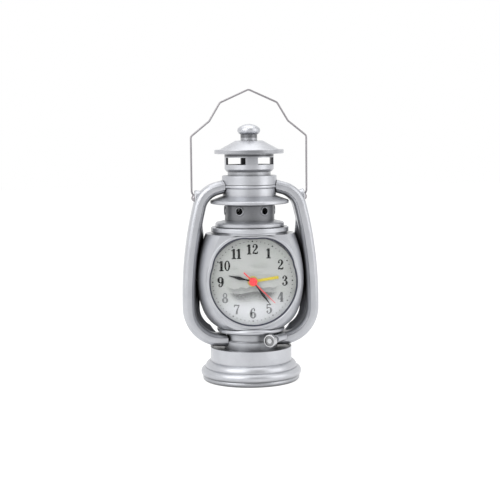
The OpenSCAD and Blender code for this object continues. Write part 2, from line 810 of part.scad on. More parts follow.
// Battery tray, its door, the buzzer and the switch, placed from the dial's centre
back_in_y = back_y - back_t;
cell_x = 12.6;
cell_y = back_in_y - cell_r - 0.55;
tray_up = 1.9;
tray_wall = 0.8;
spring_h = 0.9;
spring_t = 0.3;
contact_t = 0.3;
tray_h = 2 * tray_wall + spring_h + cell_len + cell_nub_h + contact_t + 2 * seat_gap;
tray_w = 2 * (cell_r + tray_wall) + 0.3;
tray_z0 = dial_z + tray_up - tray_h / 2;
tray_y0 = cell_y - cell_r - 1.2 - tray_wall;
cell_z0 = tray_z0 + tray_wall + spring_h;
contact_z = cell_z0 + cell_len + cell_nub_h + seat_gap;
door_w = tray_w + tray_wall;
door_h = tray_h + tray_wall;
door_round = 1.5;
buzzer_pos = [-15.5, 2];
switch_pos = [-17.5, -18.5];
switch_slot_w = 2.4;
switch_h = 3.6;
switch_t = 1.2;

module rounded_plate(w, h, r, t) {
    linear_extrude(t) {
        translate([-w / 2 + r, -h / 2]) square([w - 2 * r, h]);
        translate([-w / 2, -h / 2 + r]) square([w, h - 2 * r]);
        for (x = [-1, 1]) for (y = [-1, 1]) translate([x * (w / 2 - r), y * (h / 2 - r)]) circle(r = r);
    }
}

// Places children with z pointing to the rear, x and height as seen from the front
module on_back(x, v, y) {
    translate([x, y, dial_z + v]) rotate([90, 0, 0]) mirror([0, 0, 1]) children();
}

module globe_rear() color(silver) {
    rib_t = 1;
    rib_x = globe_r - 0.3;
    tube_in_x = tube_side_c[0] + sqrt(pow(tube_side_r - tube_w, 2) - pow(dial_z - tube_side_c[1], 2));
    rib_end_x = tube_in_x - web([tube_in_x, dial_z]) - seat_gap;
    sound_hole_r = 0.7;
    sound_pcd_r = 3;
    difference() {
        intersection() {
            globe_part(0, 0);
            translate([-big / 2, -1, 0]) cube([big, back_y + 1, big]);
        }
        intersection() {
            globe_part(globe_wall, 20);
            translate([-big / 2, -big / 2, 0]) cube([big, back_in_y + big / 2, big]);
        }
        translate([0, 0, globe_z - 1]) cylinder(r = spout_r, h = globe_wall + 2);
        translate([0, 0, globe_top - globe_wall - 1]) cylinder(r = globe_neck_r, h = globe_wall + 2);
        for (p = [time_pos, alarm_pos]) on_back(p[0], p[1], back_in_y - 1)
            cylinder(r = stem_r + slide_gap, h = back_t + 2);
        on_back(cell_x, tray_up, back_in_y - 1) rounded_plate(door_w, door_h, door_round, back_t + 2);
        on_back(switch_pos[0], switch_pos[1] + switch_travel / 2, back_in_y - 1)
            rounded_plate(switch_slot_w, switch_travel + switch_h + 2 * slide_gap,
                switch_slot_w / 2 - slide_gap, back_t + 2);
        on_back(buzzer_pos[0], buzzer_pos[1], back_in_y - 1) {
            cylinder(r = sound_hole_r, h = back_t + 2);
            for (i = [0 : 5]) rotate([0, 0, 60 * i]) translate([sound_pcd_r, 0, 0])
                cylinder(r = sound_hole_r, h = back_t + 2);
        }
    }
    for (s = [-1, 1]) translate([s > 0 ? rib_x : -rib_end_x, 0.5, dial_z - rib_t / 2])
        cube([rib_end_x - rib_x, 3, rib_t]);
}

// Chimney and hood

module shoulder_ring() color(silver) {
    edge = 0.8;
    spigot_z = dial_z + opening_r + seat_w + slide_gap;
    rotate_extrude() difference() {
        union() {
            translate([0, globe_top]) square([shoulder_r - 1, shoulder_step_h + 1]);
            translate([0, shoulder_z]) square([shoulder_r - edge, shoulder_h]);
            translate([0, shoulder_z + edge]) square([shoulder_r, shoulder_h - 2 * edge]);
            for (z = [edge, shoulder_h - edge]) translate([shoulder_r - edge, shoulder_z + z]) circle(r = edge);
            translate([0, spigot_z]) square([globe_neck_r - seat_gap, shoulder_z - spigot_z]);
        }
        translate([-1, 0]) square([hood_bore_r + 1, big]);
    }
}

hood_spigot_r = chimney_r - chimney_wall - seat_gap;
hood_bore_r = hood_spigot_r - 2;

// Places children at the middle of each air hole, with z pointing outwards
module at_air_holes(r) {
    for (i = [0 : air_holes - 1]) rotate([0, 0, 360 / air_holes * (i + 0.5)])
        translate([0, -r, chimney_neck_z + air_hole_z]) rotate([90, 0, 0]) children();
}

// The chimney stands on this floor, inside the ring
chimney_floor_z = chimney_z + 2;

module chimney_ring() color(silver) {
    edge = 0.4;
    flat_h = 0.53 * chimney_ring_h;
    difference() {
        rotate_extrude() polygon([
            [hood_bore_r, chimney_z], [chimney_ring_r - edge, chimney_z],
            [chimney_ring_r, chimney_z + edge], [chimney_ring_r, chimney_z + flat_h],
            [chimney_ring_r - 2 * edge, chimney_z + flat_h + 2 * edge],
            [chimney_r, chimney_neck_z], [hood_bore_r, chimney_neck_z]
        ]);
        translate([0, 0, chimney_floor_z]) cylinder(r = chimney_r + seat_gap, h = chimney_ring_h);
    }
}

module chimney() color([0.60, 0.61, 0.64]) {
    rim_h = 0.4;
    difference() {
        union() {
            translate([0, 0, chimney_floor_z]) cylinder(r = chimney_r, h = skirt_z - chimney_floor_z);
            at_air_holes(chimney_r - 1) cylinder(r = air_hole_r + air_rim_w, h = 1 + rim_h);
        }
        translate([0, 0, chimney_floor_z - 1]) cylinder(r = chimney_r - chimney_wall, h = big);
        at_air_holes(chimney_r - chimney_wall - 1) cylinder(r = air_hole_r, h = chimney_wall + rim_h + 2);
    }
}

module hood_skirt() color(silver) {
    edge = 0.5;
    wall = 1.6;
    rotate_extrude() difference() {
        union() {
            polygon([
                [0, skirt_z], [skirt_r - edge, skirt_z],
                [skirt_r, skirt_z + edge], [skirt_r, skirt_slope_z - edge],
                [skirt_r - edge, skirt_slope_z], [hood_low_r, hood_low_z], [hood_low_r, hood_bead_z],
                [0, hood_bead_z]
            ]);
            translate([0, skirt_z - spigot_h]) square([hood_spigot_r, spigot_h + 1]);
        }
        translate([-1, 0]) square([hood_bore_r + 1, big]);
        polygon([
            [chimney_r + wall, skirt_z - 1],
            [skirt_r - wall, skirt_z - 1], [skirt_r - wall, skirt_slope_z - wall / 2],
            [chimney_r + wall, skirt_slope_z]
        ]);
    }
}

crown_bore_r = crown_foot_r - 4;

module hood_drum() color(silver) {
    edge = hood_bead_h / 2;
    top_edge = 0.6;
    rotate_extrude() difference() {
        union() {
            translate([0, hood_bead_z]) square([hood_bead_r - edge, hood_bead_h]);
            translate([hood_bead_r - edge, hood_bead_z + edge]) circle(r = edge);
            translate([0, hood_up_z - eps]) square([hood_up_r - top_edge, hood_up_h + eps]);
            translate([0, hood_up_z - eps]) square([hood_up_r, hood_up_h - top_edge]);
            translate([hood_up_r - top_edge, crown_z - top_edge]) circle(r = top_edge);
            translate([0, hood_bead_z - spigot_h]) square([hood_bore_r - seat_gap, spigot_h + 1]);
        }
        translate([-1, 0]) square([crown_bore_r + 1, big]);
    }
}

module vent_crown() color(silver) {
    window_a = 360 / windows - post_a;
    floor_t = 0.6;
    slope = 1.3;
    difference() {
        rotate_extrude() difference() {
            union() {
                polygon([
                    [0, crown_z], [crown_foot_r, crown_z],
                    [crown_foot_r, crown_low_z], [crown_r - slope, crown_low_z],
                    [crown_r, crown_low_z + 1.2 * slope], [crown_r, cap_z], [0, cap_z]
                ]);
                translate([0, crown_z - spigot_h]) square([crown_bore_r - seat_gap, spigot_h + 1]);
            }
            translate([-1, 0]) square([crown_bore_r - 1, crown_z + 1]);
            translate([-1, window_z - floor_t]) square([crown_r - crown_wall + 1, big]);
        }
        for (i = [0 : windows - 1]) rotate([0, 0, 360 / windows * i - 90 + post_a / 2])
            translate([0, 0, window_z]) rotate_extrude(angle = window_a)
                translate([crown_r - crown_wall - 1, 0]) square([crown_wall + 2, window_h]);
    }
}

module cap() color(silver) {
    edge = 0.6;
    shoulder = 0.8;
    rotate_extrude() {
        translate([0, cap_z]) square([brim_r - edge, brim_h]);
        translate([0, cap_z + edge]) square([brim_r, brim_h - 2 * edge]);
        for (z = [edge, brim_h - edge]) translate([brim_r - edge, cap_z + z]) circle(r = edge);
        polygon([
            [0, slope_z - 1], [slope_r, slope_z - 1], [slope_r, slope_z],
            [slope_top_r + shoulder, finial_z - shoulder / 2], [slope_top_r, finial_z], [0, finial_z]
        ]);
        translate([0, cap_z - 1]) square([crown_r - crown_wall - seat_gap, 2]);
    }
}

// A head between two flat domes, closed by a round edge that touches both, on a straight neck
module finial() color(silver) {
    edge_x = finial_r - finial_edge_r;
    lens_r = (edge_x * edge_x + finial_half_h * finial_half_h - finial_edge_r * finial_edge_r)
        / (2 * (finial_half_h - finial_edge_r));
    lens_c = lens_r - finial_half_h;
    touch_x = edge_x + finial_edge_r * edge_x / (lens_r - finial_edge_r);
    rotate_extrude() {
        translate([0, finial_z]) square([finial_neck_r, finial_up]);
        translate([edge_x, finial_head_z]) circle(r = finial_edge_r);
        intersection() {
            translate([0, finial_head_z - lens_c]) circle(r = lens_r, $fn = 180);
            translate([0, finial_head_z + lens_c]) circle(r = lens_r, $fn = 180);
            translate([0, finial_head_z - finial_half_h]) square([touch_x, 2 * finial_half_h]);
        }
    }
}

// Bail

wire_points = [
    [ball_x, 0], [bail_x, wire_lean_h], [bail_x, bail_leg], [bail_mid_x, bail_mid_z],
    [bail_high_x, bail_high_z], [0, bail_peak], [-bail_high_x, bail_high_z], [-bail_mid_x, bail_mid_z],
    [-bail_x, bail_leg], [-bail_x, wire_lean_h], [-ball_x, 0]
];
wire_sides = 12;

function heading(i) = let (step = wire_points[i + 1] - wire_points[i]) atan2(step[1], step[0]);
function turn(i) = let (d = heading(i) - heading(i - 1)) d > 180 ? d - 360 : d < -180 ? d + 360 : d;
function trim(i) = wire_bend * tan(abs(turn(i)) / 2);

// Rings of the wire: its two ends, and a row of rings round each bend
function wire_stations() = let (last = len(wire_points) - 1) concat(
    [[wire_points[0], heading(0)]],
    [for (i = [1 : last - 1]) let (
            side = sign(turn(i)), steps = ceil(abs(turn(i)) / 15),
            c = wire_points[i] - polar(trim(i), heading(i - 1)) + polar(wire_bend, heading(i - 1) + side * 90)
        )
        for (k = [0 : steps]) let (h = heading(i - 1) + turn(i) * k / steps)
            [c - polar(wire_bend, h + side * 90), h]],
    [[wire_points[last], heading(last - 1)]]
);

function wire_ring(s) = [for (i = [0 : wire_sides - 1]) let (
        a = 360 / wire_sides * i, r = wire_d / 2, p = s[0] + polar(r * cos(a), s[1] + 90)
    ) [p[0], -r * sin(a), p[1]]];

function cap_faces(n, e) = [for (i = [1 : n - 2]) [e, e + i, e + i + 1]];

module bail() color(steel) translate([0, 0, ear_z]) {
    rings = wire_stations();
    n = wire_sides;
    last = (len(rings) - 1) * n;
    polyhedron([for (s = rings) each wire_ring(s)], concat(
        [for (s = [0 : len(rings) - 2]) for (i = [0 : n - 1]) let (a = s * n + i, b = s * n + (i + 1) % n)
            each [[a, b + n, b], [a, a + n, b + n]]],
        [for (f = cap_faces(n, 0)) f],
        [for (f = cap_faces(n, last)) [f[2], f[1], f[0]]]
    ));
    for (m = [0, 1]) mirror([m, 0, 0]) {
        translate([ball_x, 0, 0]) rotate([90, 0, 0]) sphere(r = ball_r);
        rotate([0, 90, 0]) translate([0, 0, pin_x]) cylinder(r = pin_r, h = ball_x - pin_x);
    }
}

// Dial and hands

disc_r = opening_r + seat_w - seat_gap;

module lens() color([0.85, 0.9, 0.95, 0.35]) in_face() translate([0, 0, lens_back_w])
    linear_extrude(lens_t - seat_gap) opening_shape(seat_w - seat_gap);

module dial_spacer() color(silver) in_face() translate([0, 0, dial_w + seat_gap])
    ring(disc_r, opening_r + slide_gap, hand_space - 2 * seat_gap);

module dial_plate() color([0.88, 0.89, 0.88]) in_face() translate([0, 0, dial_w - dial_t])
    ring(disc_r, alarm_out_r + slide_gap, dial_t);

module hand(points, hub_r, bore_r, front_w, a) {
    in_face() translate([0, 0, front_w - hand_t]) rotate([0, 0, -a]) linear_extrude(hand_t) difference() {
        union() {
            polygon(concat(points, [for (i = [len(points) - 1 : -1 : 0]) [-points[i][0], points[i][1]]]));
            circle(r = hub_r);
        }
        if (bore_r > 0) circle(r = bore_r);
    }
}

module hour_hand() color([0.08, 0.08, 0.09]) {
    half_w = hour_w / 2;
    hand([
        [0.4 * half_w, 0], [0.36 * half_w, 0.34 * hour_len], [half_w, 0.56 * hour_len],
        [0.4 * half_w, 0.8 * hour_len], [0.12 * half_w, hour_len]
    ], hour_out_r + hub_wall, hour_out_r + press_gap, hour_front_w, hour_a);
}

module minute_hand() color([0.08, 0.08, 0.09]) {
    half_w = minute_w / 2;
    hand([
        [0.6 * half_w, 0], [0.47 * half_w, 0.3 * minute_len], [half_w, 0.55 * minute_len],
        [0.47 * half_w, 0.85 * minute_len], [0.14 * half_w, minute_len]
    ], minute_out_r + hub_wall, minute_out_r + press_gap, minute_front_w, minute_a);
}

module second_hand() color([0.9, 0.1, 0.1]) {
    half_w = second_w / 2;
    socket_h = hand_step - hand_t - seat_gap;
    hand([[half_w, -second_tail], [0.9 * half_w, 0], [0.4 * half_w, second_len]],
        hub_r, 0, second_front_w, second_a);
    in_face() translate([0, 0, second_front_w - hand_t - socket_h])
        ring(second_arbor_r + hub_wall, second_arbor_r + press_gap, socket_h + eps);
}

module alarm_hand() color([0.93, 0.8, 0.12]) hand(
    [[alarm_w / 2, 0], [alarm_w / 2, alarm_len]],
    alarm_out_r + hub_wall, alarm_out_r + press_gap, alarm_front_w, alarm_a);

// Movement: plates and case

post_pos = 18.9;
post_r = 1.3;
post_screw_w = bridge_w - 3.8;
head_r = 1.5;
head_h = 0.5;
pivot_r = 0.8;

module case_shape(inset) {
    intersection() {
        square([case_w - 2 * inset, case_w - 2 * inset], center = true);
        circle(r = case_round_r - inset);
    }
}

module at_posts() {
    for (x = [-1, 1]) for (y = [-1, 1]) translate([x * post_pos, y * post_pos, 0]) children();
}

module front_plate() color(plastic) in_face() difference() {
    union() {
        translate([0, 0, plate_back_w]) cylinder(r = disc_r, h = plate_t);
        at_posts() translate([0, 0, bridge_w + seat_gap])
            cylinder(r = post_r, h = plate_w - bridge_w - seat_gap);
        at(minute_pos, minute_wheel_w - wheel_t)
            cylinder(r = pivot_r, h = plate_w - eps - minute_wheel_w + wheel_t);
    }
    translate([0, 0, plate_back_w - 1]) cylinder(r = alarm_out_r + run_gap, h = plate_t + 2);
    at(third_pos, plate_back_w - 1) cylinder(r = arbor_r + run_gap, h = plate_t + 2);
    at_posts() translate([0, 0, bridge_w - 1]) cylinder(r = screw_r + run_gap, h = plate_w);
    at_posts() translate([0, 0, plate_w - head_h - 2 * seat_gap]) cylinder(r = head_r + run_gap, h = 1);
}

module rear_case() color(plastic) in_face() {
    difference() {
        translate([0, 0, case_back_w]) linear_extrude(plate_back_w - seat_gap - case_back_w) case_shape(0);
        translate([0, 0, case_floor_w]) linear_extrude(big) case_shape(case_wall);
        for (p = [time_pos, alarm_pos]) at(p, case_back_w - 1)
            cylinder(r = stem_r + run_gap, h = case_wall + 2);
        for (p = [third_pos, inter_pos, rotor_pos]) at(p, bearing_w)
            cylinder(r = arbor_r + run_gap, h = case_wall);
        at([0, 0], bearing_w) cylinder(r = second_arbor_r + run_gap, h = case_wall);
    }
    at_posts() difference() {
        translate([0, 0, case_floor_w - eps])
            cylinder(r = post_r, h = bridge_w - thin_wheel_t - seat_gap - case_floor_w);
        translate([0, 0, post_screw_w - slide_gap]) cylinder(r = screw_r + press_gap, h = 5);
    }
}

module train_bridge() color(plastic) in_face() translate([0, 0, bridge_w - thin_wheel_t])
    linear_extrude(thin_wheel_t) difference() {
        case_shape(case_wall + slide_gap);
        circle(r = second_arbor_r + run_gap);
        translate(third_pos) circle(r = centre_m * (third_pinion / 2 + addendum) + slide_gap);
        for (p = [inter_pos, rotor_pos]) translate(p) circle(r = arbor_r + run_gap);
        for (p = [time_pos, alarm_pos]) translate(p) circle(r = stem_r + run_gap);
        at_posts() circle(r = screw_r + run_gap);
    }

module movement_screws() color(steel) in_face() at_posts() {
    head_w = plate_w - head_h - seat_gap;
    slot_w = 0.4;
    difference() {
        translate([0, 0, head_w]) cylinder(r = head_r, h = head_h);
        translate([-head_r - 1, -slot_w / 2, head_w + head_h / 2]) cube([2 * head_r + 2, slot_w, 1]);
    }
    translate([0, 0, post_screw_w]) cylinder(r = screw_r, h = head_w + eps - post_screw_w);
}

// Movement: motor

magnet_lift = 0.15;
magnet_h = 1.6;
magnet_r = 2.4;

module rotor() color(steel) in_face() at(rotor_pos, 0) {
    turn = mate(rotor_dir, mate(inter_dir, 0, second_teeth, inter_pinion), inter_teeth, rotor_teeth);
    translate([0, 0, inter_wheel_w - thin_wheel_t - slide_gap])
        gear(rotor_teeth, fine_m, thin_wheel_t + 2 * slide_gap, turn);
    translate([0, 0, case_floor_w + magnet_lift]) cylinder(r = magnet_r, h = magnet_h);
    translate([0, 0, arbor_end_w]) cylinder(r = arbor_r, h = bridge_w - 2 * seat_gap - arbor_end_w);
}

// The stator's two arms reach from the rotor up to the coil's core
arm_w = 2.4;
arm_left = -4.8;
arm_right = rotor_pos[0] + 1.5;
core_r = 0.9;
core_w = stator_w + core_r + seat_gap;
flange_t = 0.8;
coil_v = case_w / 2 - case_wall - coil_r - 1.9;

module stator() color(steel) in_face() translate([0, 0, stator_w - stator_t]) linear_extrude(stator_t)
    difference() {
        hole_r = magnet_r + 0.5;
        low = rotor_pos[1] - arm_w / 2;
        union() {
            translate(rotor_pos) circle(r = hole_r + 1.7);
            translate([arm_left - arm_w / 2, low]) square([arm_right - arm_left + arm_w, arm_w]);
            for (x = [arm_left, arm_right]) translate([x - arm_w / 2, low])
                square([arm_w, coil_v + coil_r - low]);
        }
        translate(rotor_pos) circle(r = hole_r);
    }

module along_core(x) in_face() translate([x, coil_v, core_w]) rotate([0, 90, 0]) children();

module coil_core() color(steel) along_core(arm_left - arm_w / 2)
    cylinder(r = core_r, h = arm_right - arm_left + arm_w);

module coil() color([0.72, 0.38, 0.2]) along_core(arm_left + arm_w / 2) {
    len = arm_right - arm_left - arm_w;
    ring(coil_r - 0.3, core_r + press_gap, len);
    for (z = [0, len - flange_t]) translate([0, 0, z]) ring(coil_r, core_r + press_gap, flange_t);
}

// A board in the case's corner with its chip and the quartz can
module circuit_board() color([0.15, 0.4, 0.22]) in_face() {
    size = [10, post_pos - post_r - 0.6, thin_wheel_t];
    chip = [6, 5, 1];
    can_r = 1;
    can_h = 6;
    corner_x = case_wall + 1.2 - case_w / 2;
    translate([corner_x, -size[1], stator_w - slide_gap - size[2]]) cube(size);
    translate([corner_x + 2, -size[1] + chip[1], stator_w - slide_gap - eps]) cube(chip);
    translate([corner_x + size[0] / 2, -can_h / 2, stator_w - slide_gap + can_r]) rotate([90, 0, 0])
        cylinder(r = can_r, h = can_h);
}

// Movement: wheels

module second_wheel() color(brass) in_face() {
    translate([0, 0, second_wheel_w - thin_wheel_t]) gear(second_teeth, fine_m, thin_wheel_t, 0);
    translate([0, 0, second_wheel_w - eps])
        gear(second_pinion, fine_m, third_wheel_w + seat_gap - second_wheel_w, 0);
    translate([0, 0, arbor_end_w])
        cylinder(r = second_arbor_r, h = second_front_w - hand_t - seat_gap - arbor_end_w);
}

module intermediate_wheel() color(nylon) in_face() at(inter_pos, 0) {
    turn = mate(inter_dir, 0, second_teeth, inter_pinion);
    translate([0, 0, inter_wheel_w - thin_wheel_t]) gear(inter_teeth, fine_m, thin_wheel_t, turn);
    translate([0, 0, inter_wheel_w - eps])
        gear(inter_pinion, fine_m, second_wheel_w + seat_gap - inter_wheel_w, turn);
    translate([0, 0, arbor_end_w]) cylinder(r = arbor_r, h = bridge_w - 2 * seat_gap - arbor_end_w);
}

third_turn = mate(third_dir, 0, second_pinion, third_teeth);

module third_wheel() color(nylon) in_face() at(third_pos, 0) {
    translate([0, 0, third_wheel_w - thin_wheel_t]) gear(third_teeth, fine_m, thin_wheel_t, third_turn);
    translate([0, 0, third_wheel_w - eps])
        gear(third_pinion, centre_m, centre_wheel_w + seat_gap - third_wheel_w, third_turn);
    translate([0, 0, arbor_end_w]) cylinder(r = arbor_r, h = plate_w - 2 * seat_gap - arbor_end_w);
}

module centre_wheel() color(brass) in_face() translate([0, 0, centre_wheel_w - thin_wheel_t]) difference() {
    gear(centre_teeth, centre_m, thin_wheel_t, mate(third_dir + 180, third_turn, third_pinion, centre_teeth));
    translate([0, 0, -1]) cylinder(r = minute_out_r + run_gap, h = 3);
}

cannon_turn = -minute_a;
minute_turn = mate(minute_dir, cannon_turn, cannon_teeth, minute_teeth);

module cannon_pinion() color(brass) in_face() difference() {
    union() {
        translate([0, 0, minute_wheel_w - wheel_t]) gear(cannon_teeth, set_m, wheel_t, cannon_turn);
        translate([0, 0, centre_wheel_w - thin_wheel_t])
            cylinder(r = minute_out_r, h = minute_front_w - centre_wheel_w + thin_wheel_t);
    }
    translate([0, 0, bridge_w - 1]) cylinder(r = minute_in_r, h = big);
}

module minute_wheel() color(nylon) in_face() at(minute_pos, 0) difference() {
    union() {
        translate([0, 0, minute_wheel_w - wheel_t]) gear(minute_teeth, set_m, wheel_t, minute_turn);
        translate([0, 0, minute_wheel_w - eps])
            gear(minute_pinion_teeth, hour_m, hour_wheel_w + seat_gap - minute_wheel_w, minute_turn);
    }
    translate([0, 0, minute_wheel_w - 3]) cylinder(r = pivot_r + run_gap, h = 9);
}

module hour_wheel() color(nylon) in_face() difference() {
    union() {
        translate([0, 0, hour_wheel_w - wheel_t])
            gear(hour_teeth, hour_m, wheel_t,
                mate(minute_dir + 180, minute_turn, minute_pinion_teeth, hour_teeth));
        translate([0, 0, hour_wheel_w - eps]) cylinder(r = hour_out_r, h = hour_front_w - hour_wheel_w);
    }
    translate([0, 0, hour_wheel_w - 3]) cylinder(r = hour_in_r, h = big);
}

alarm_turn = -alarm_a;

module alarm_wheel() color(nylon) in_face() difference() {
    union() {
        translate([0, 0, alarm_wheel_w - wheel_t]) gear(alarm_teeth, set_m, wheel_t, alarm_turn);
        translate([0, 0, alarm_wheel_w - eps]) cylinder(r = alarm_out_r, h = alarm_front_w - alarm_wheel_w);
    }
    translate([0, 0, alarm_wheel_w - 3]) cylinder(r = alarm_in_r, h = big);
}

// Length of a stem behind the back, with the knob set off from the back by a gap
knob_lift = 0.5;
stem_end = set_knob_h - 1.5;

module set_stem(pos, wheel_w, teeth, turn) {
    in_face() at(pos, 0) {
        translate([0, 0, wheel_w - wheel_t]) gear(teeth, set_m, wheel_t, turn);
        translate([0, 0, -back_y - stem_end]) cylinder(r = stem_r, h = back_y + stem_end + wheel_w + seat_gap);
    }
}

module set_knob(pos) {
    grooves = 12;
    groove_r = 0.7;
    on_back(pos[0], pos[1], back_y + knob_lift) difference() {
        cylinder(r = set_knob_r, h = set_knob_h);
        translate([0, 0, -1]) cylinder(r = stem_r + press_gap, h = stem_end - knob_lift + seat_gap + 1);
        for (i = [0 : grooves - 1]) rotate([0, 0, 360 / grooves * i])
            translate([set_knob_r + groove_r / 2, 0, 1]) cylinder(r = groove_r, h = set_knob_h);
    }
}

time_stem_turn = mate(time_dir, minute_turn, minute_teeth, time_pinion_teeth);
alarm_stem_turn = mate(alarm_dir, alarm_turn, alarm_teeth, alarm_pinion_teeth);

module time_stem() color(plastic) set_stem(time_pos, minute_wheel_w, time_pinion_teeth, time_stem_turn);
module alarm_stem() color(plastic) set_stem(alarm_pos, alarm_wheel_w, alarm_pinion_teeth, alarm_stem_turn);
module time_knob() color([0.12, 0.12, 0.13]) set_knob(time_pos);
module alarm_knob() color([0.12, 0.12, 0.13]) set_knob(alarm_pos);

// Power, sound and back

module buzzer() color([0.1, 0.1, 0.1]) on_back(buzzer_pos[0], buzzer_pos[1], back_in_y - seat_gap - buzzer_h) {
    rim_h = 0.6;
    rim_w = 1;
    cylinder(r = buzzer_r, h = buzzer_h - rim_h);
    translate([0, 0, buzzer_h - rim_h - eps]) ring(buzzer_r, buzzer_r - rim_w, rim_h + eps);
}

module battery_tray() color([0.2, 0.2, 0.22]) translate([cell_x, 0, 0]) difference() {
    translate([-tray_w / 2, tray_y0, tray_z0]) cube([tray_w, back_in_y - seat_gap - tray_y0 - 1, tray_h]);
    translate([-tray_w / 2 + tray_wall, tray_y0 + tray_wall, tray_z0 + tray_wall])
        cube([tray_w - 2 * tray_wall, big, tray_h - 2 * tray_wall]);
}

module battery() color([0.35, 0.36, 0.4]) translate([cell_x, cell_y, cell_z0]) {
    cylinder(r = cell_r, h = cell_len);
    translate([0, 0, cell_len - eps]) cylinder(r = 0.37 * cell_r, h = cell_nub_h);
}

module contact_plate() color(brass) translate([cell_x - 0.55 * cell_r, cell_y - 0.9 * cell_r, contact_z])
    cube([1.1 * cell_r, 1.65 * cell_r, contact_t]);

// Three flat rings that grow smaller towards the cell
module contact_spring() color(steel) translate([cell_x, cell_y, tray_z0 + tray_wall + seat_gap])
    for (i = [0 : 2]) translate([0, 0, i * (spring_t - seat_gap)])
        ring((0.69 - 0.1 * i) * cell_r, (0.54 - 0.16 * i) * cell_r, spring_t);

module battery_door() color(silver) {
    grooves = 5;
    groove_w = 0.7;
    groove_len = door_w / 2;
    on_back(cell_x, tray_up, back_in_y) difference() {
        rounded_plate(door_w - 2 * slide_gap, door_h - 2 * slide_gap, door_round - slide_gap, back_t);
        for (i = [1 : grooves]) translate([-groove_len / 2, door_h / 2 - 3 - 2.2 * groove_w * i, back_t - 0.5])
            cube([groove_len, groove_w, 1]);
    }
}

module alarm_switch() color([0.12, 0.12, 0.13]) {
    slider_w = switch_slot_w - 2 * slide_gap;
    on_back(switch_pos[0], switch_pos[1], back_in_y - seat_gap - switch_t) {
        rounded_plate(1.6 * switch_h, 1.6 * switch_h, 1, switch_t);
        translate([0, 0, switch_t - eps]) rounded_plate(slider_w, switch_h, 0.4 * slider_w, back_t + 1.6);
    }
}

base_shell();
base_cover();
base_screws();
burner_collar();
gallery_ring();
tube_left_front();
tube_left_rear();
tube_right_front();
tube_right_rear();
globe_front();
globe_rear();
shoulder_ring();
chimney_ring();
chimney();
hood_skirt();
hood_drum();
vent_crown();
cap();
finial();
bail();
wick_knob();
lens();
dial_spacer();
dial_plate();
hour_hand();
minute_hand();
second_hand();
alarm_hand();
front_plate();
rear_case();
train_bridge();
movement_screws();
rotor();
stator();
coil_core();
coil();
circuit_board();
intermediate_wheel();
second_wheel();
third_wheel();
centre_wheel();
cannon_pinion();
minute_wheel();
hour_wheel();
alarm_wheel();
time_stem();
time_knob();
alarm_stem();
alarm_knob();
buzzer();
battery_tray();
contact_spring();
contact_plate();
battery();
battery_door();
alarm_switch();
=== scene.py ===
"""Looks of a table alarm clock shaped like a hurricane oil lamp, laid out as an add-on.

Lengths are in metres in the frame of the packed model: +Z up, front -Y, origin under the foot's centre.
"""

import json
import math

import bmesh
import bpy
import numpy as np
from bpy.props import FloatProperty, FloatVectorProperty, IntProperty, PointerProperty
from mathutils import Matrix, Vector


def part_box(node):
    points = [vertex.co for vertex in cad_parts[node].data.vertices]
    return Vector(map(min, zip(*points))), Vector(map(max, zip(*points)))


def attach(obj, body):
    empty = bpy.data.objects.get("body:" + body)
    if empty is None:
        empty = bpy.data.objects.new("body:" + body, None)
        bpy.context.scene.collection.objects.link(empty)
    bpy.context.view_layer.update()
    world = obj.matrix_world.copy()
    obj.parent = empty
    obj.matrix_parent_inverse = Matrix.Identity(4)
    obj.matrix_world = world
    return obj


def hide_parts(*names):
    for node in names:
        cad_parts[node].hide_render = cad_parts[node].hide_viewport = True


bl_info = {
    "name": "Oil Lamp Alarm Clock",
    "version": (1, 0, 0),
    "blender": (4, 5, 0),
    "location": "View3D > Sidebar > Lamp Clock",
    "description": "Finishes, dial print, smooth mouldings and studio for a lamp shaped alarm clock",
    "category": "Object",
}

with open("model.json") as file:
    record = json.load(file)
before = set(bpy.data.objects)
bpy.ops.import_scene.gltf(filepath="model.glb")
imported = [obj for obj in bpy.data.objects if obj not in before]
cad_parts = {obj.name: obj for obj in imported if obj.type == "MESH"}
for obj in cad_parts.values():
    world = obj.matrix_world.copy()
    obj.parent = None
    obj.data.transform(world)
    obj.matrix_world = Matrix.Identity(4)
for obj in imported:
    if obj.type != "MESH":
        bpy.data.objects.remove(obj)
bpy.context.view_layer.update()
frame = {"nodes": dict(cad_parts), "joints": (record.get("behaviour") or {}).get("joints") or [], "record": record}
NODES = frame["nodes"]
JOINTS = {joint["name"]: joint for joint in frame["joints"]}
MM = 0.001
FINISH = "finish_"

# Places read from the packed model
DIAL_LOW, DIAL_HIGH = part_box("dial_plate")
DIAL_Z = (DIAL_LOW.z + DIAL_HIGH.z) / 2
DIAL_FRONT = DIAL_LOW.y
LENS_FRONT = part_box("lens")[0].y
GLOBE_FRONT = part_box("globe_front")[0].y
TUBE_LOW, TUBE_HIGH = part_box("tube_right_front")
PIVOT_Z = JOINTS["bail_swing"]["pos_m"][2]
KNOB_POINT = JOINTS["wick_knob_turn"]["pos_m"]
KNOB_AXIS = JOINTS["wick_knob_turn"]["axis"]

# Mouldings of the packed model that are toned or dressed
CHIMNEY_R, SKIRT_Z = 17 * MM, 121.6 * MM
LEDGE_R, LEDGE_Z = 26.9 * MM, 22.2 * MM

# Share by which full shade darkens a piece, and the shade of the ears
FULL_SHADE = 0.15
EAR_SHADE = 0.25

# Advance of a narrow and of a wide figure, and width of the box a figure is drawn in, in figure heights
NARROW, WIDE, FIGURE_BOX = 0.50, 0.64, 0.62

# Lamps: place and size
LAMPS = {
    "key": ((-0.80, -0.75, 0.75), (1.1, 1.2)),
    "fill": ((0.95, -0.55, 0.45), (0.8, 1.2)),
    "top": ((0.0, 0.15, 1.1), (0.9, 0.9)),
}
LAMP_AIM = (0.0, 0.0, 0.09)


